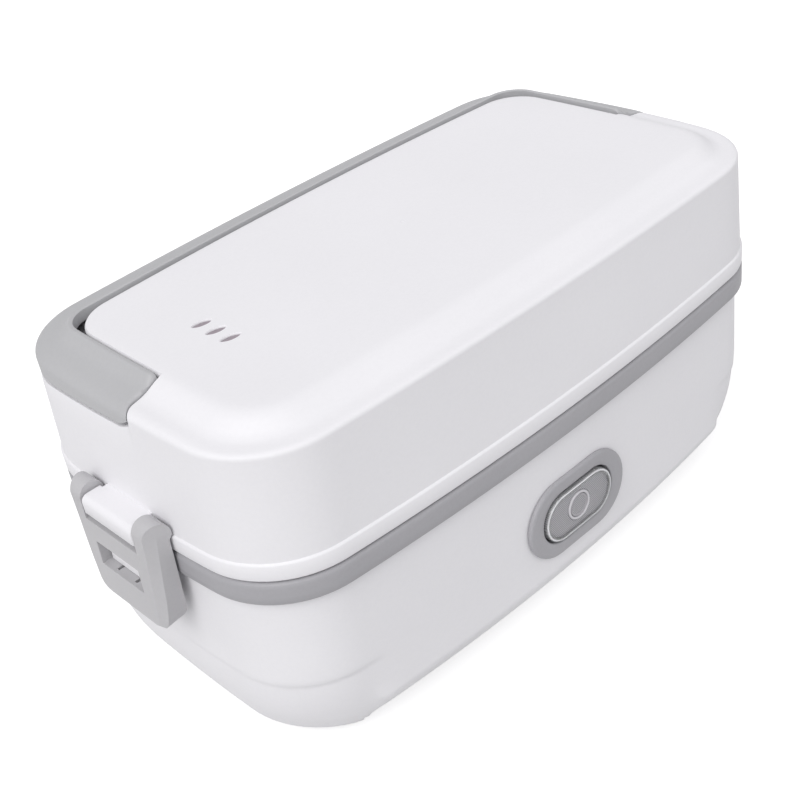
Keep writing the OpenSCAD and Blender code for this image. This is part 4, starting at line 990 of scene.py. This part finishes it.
def painted_rib_shading(material, colour, shade, size, angle, depth):
    """Fine ribs on a plastic face: a bump, and lines of painted shade and highlight in step with it, turned
    about the button's axis.
    """
    tree = material.node_tree
    body = tree.nodes["Principled BSDF"]
    bump = next(n for n in tree.nodes if n.type == "BUMP")
    place = next(n for n in tree.nodes if n.type == "TEX_COORD")
    turn = tree.nodes.new("ShaderNodeMapping")
    turn.inputs["Rotation"].default_value = (0, math.radians(angle), 0)
    wave = tree.nodes.new("ShaderNodeTexWave")
    wave.inputs["Scale"].default_value = size
    wave.inputs["Distortion"].default_value = 0.6
    tree.links.new(place.outputs["Object"], turn.inputs["Vector"])
    tree.links.new(turn.outputs["Vector"], wave.inputs["Vector"])
    tree.links.new(wave.outputs["Fac"], bump.inputs["Height"])
    bump.inputs["Distance"].default_value = depth
    tree.links.new(mix_colour(tree, wave.outputs["Fac"], shade, colour), body.inputs["Base Color"])
    return material


def turned(y, radius, t):
    """A point at an angle about the button's axis."""
    return Vector((radius*math.cos(t), y, RIM_Z + BUTTON_UP + radius*math.sin(t)))


ROUND = [i*math.pi/32 for i in range(64)]


def round_rows(levels):
    """Rows of a turned shape about the button's axis: each level is (y, radius)."""
    return [[turned(y, r, t) for t in ROUND] for y, r in levels]


def make_button():
    skirt = front_rows(shrinking(*BUTTON_SIZE), [
        (FRONT_Y + 1.7, 2.2), (FRONT_Y + 1.7, 0), (FACE_Y + 0.9, 0), (FACE_Y + 0.45, 0.08),
        (FACE_Y + 0.15, 0.35), (FACE_Y, 0.8), (FACE_Y, 1.25), (FACE_Y + 0.2, 1.6),
        (FACE_Y + 0.75, 1.75), (FACE_Y + 0.9, 2.0), (FRONT_Y + 1.6, 2.2)])
    piece("button_lens", shell(bmesh.new(), skirt, closed=True), "button", clear_plastic(),
          "power_button", angle=40, slot="clear_plastic")

    plate = front_rows(shrinking(*RIBS_SIZE), [
        (FRONT_Y + 1.6, 0), (FACE_Y + 0.75, 0), (FACE_Y + 0.6, 0.15), (FACE_Y + 0.6, 0.6)])
    # The ribs' dark and light lines in the base colour are painted shade and highlight.
    ribbed = painted_rib_shading(finish("ribbed_plate", tone(170, 170, 173), tone(150, 150, 154), 0.28, 0.4),
                       tone(188, 187, 191), tone(132, 131, 136), 620, 32, 0.00012)
    ribs = piece("button_ribs", shell(bmesh.new(), plate), "button", ribbed, slot="clear_plastic")
    groove = round_rows(((FACE_Y - 1, GROOVE_OUT), (FACE_Y + 0.95, GROOVE_OUT),
                         (FACE_Y + 0.95, GROOVE_IN), (FACE_Y - 1, GROOVE_IN)))
    cut(ribs, shell(bmesh.new(), groove, closed=True))

    # A thin white tube round the clear face: a painted highlight along the button's edge.
    rim = front_rows(shrinking(*HIGHLIGHT_RIM_SIZE), [
        (FACE_Y + 0.36 + 0.34*math.sin(a), 0.34*math.cos(a)) for a in (k*math.pi/6 for k in range(12))])
    piece("button_highlight_rim", shell(bmesh.new(), rim, closed=True), "button",
          finish("white_highlight_rim", tone(240, 240, 242), tone(232, 232, 235), 0.1, 0.2,
                 grain_depth=0.000004), slot="clear_plastic")

    section = [(FACE_Y + 0.62 + RING_DEEP*math.sin(a), RING_R + RING_WIDE*math.cos(a))
               for a in (k*math.pi/8 for k in range(16))]
    rows = [[turned(y, r, t) for y, r in section] for t in ROUND]
    piece("button_ring", shell(bmesh.new(), rows, closed=True), "button",
          finish("ring_plastic", tone(208, 206, 210), tone(196, 194, 199), 0.12, 0.25,
                 grain_depth=0.000004), slot="clear_plastic")

    disc = round_rows((
        (FACE_Y + 1.6, 4.0), (FACE_Y + 0.5, 4.0), (FACE_Y + 0.3, 3.8), (FACE_Y + 0.42, 3.45),
        (FACE_Y + 0.9, 2.6), (FACE_Y + 1.2, 1.4), (FACE_Y + 1.3, 0.5)))
    piece("button_disc", shell(bmesh.new(), disc), "button",
          finish("disc_plastic", tone(168, 166, 170), tone(152, 150, 155), 0.2, 0.32, grain=600,
                 grain_depth=0.00004), slot="clear_plastic")


make_bezel()
make_button()


# Pieces that keep their CAD shape

# Copies with rounded edges: name, CAD node, body, material, width of the rounding, slot
SOFT = [("well_liner", "inner_well", "base", INNER, 0.3, "inner_plastic"),
        ("tray_bowl", "upper_tray", "tray", INNER, 0.3, "inner_plastic"),
        ("steel_bowl", "container", "container", STAINLESS, 0.12, "stainless"),
        ("bowl_cover", "container_lid", "container_cover", COVER, 0.3, "cover_plastic"),
        ("liner_panel", "lid_liner", "lid", INNER, 0.3, "inner_plastic"),
        ("inlet_housing", "power_inlet", "base", BLACK, 0.2, "black_plastic"),
        ("cover_panel", "bottom_cover", "base", WHITE, 0.25, "white_shell")]
for row in SOFT:
    softened(*row)

PLAIN = {
    RUBBER: ["feet"],
    DARK_SEAL: ["lid_seal"],
    SILICONE: ["container_seal", "steam_plug"],
    STEEL: ["cover_screws", "board_screws", "clamp_screws", "liner_screws", "latch_pins", "heater_clamp"],
    BLACK: ["switch_plunger", "tact_switch"],
    BOARD: ["switch_board"],
    LAMP: ["indicator_leds"],
    BRASS: ["inlet_pins"],
    ALUMINIUM: ["heating_plate", "ptc_heater"],
    CERAMIC: ["thermostat", "thermal_fuse"],
    TIN: ["fuse_leads"],
    RED: ["lead_live", "lead_switched"],
    BLUE: ["lead_neutral"],
}
for material, names in PLAIN.items():
    for name in names:
        data = nodes[name].data
        if not data.materials:
            data.materials.append(material)
        for i in range(len(data.materials)):
            data.materials[i] = material


def corners(box):
    return [[float(v) for v in corner] for corner in box]
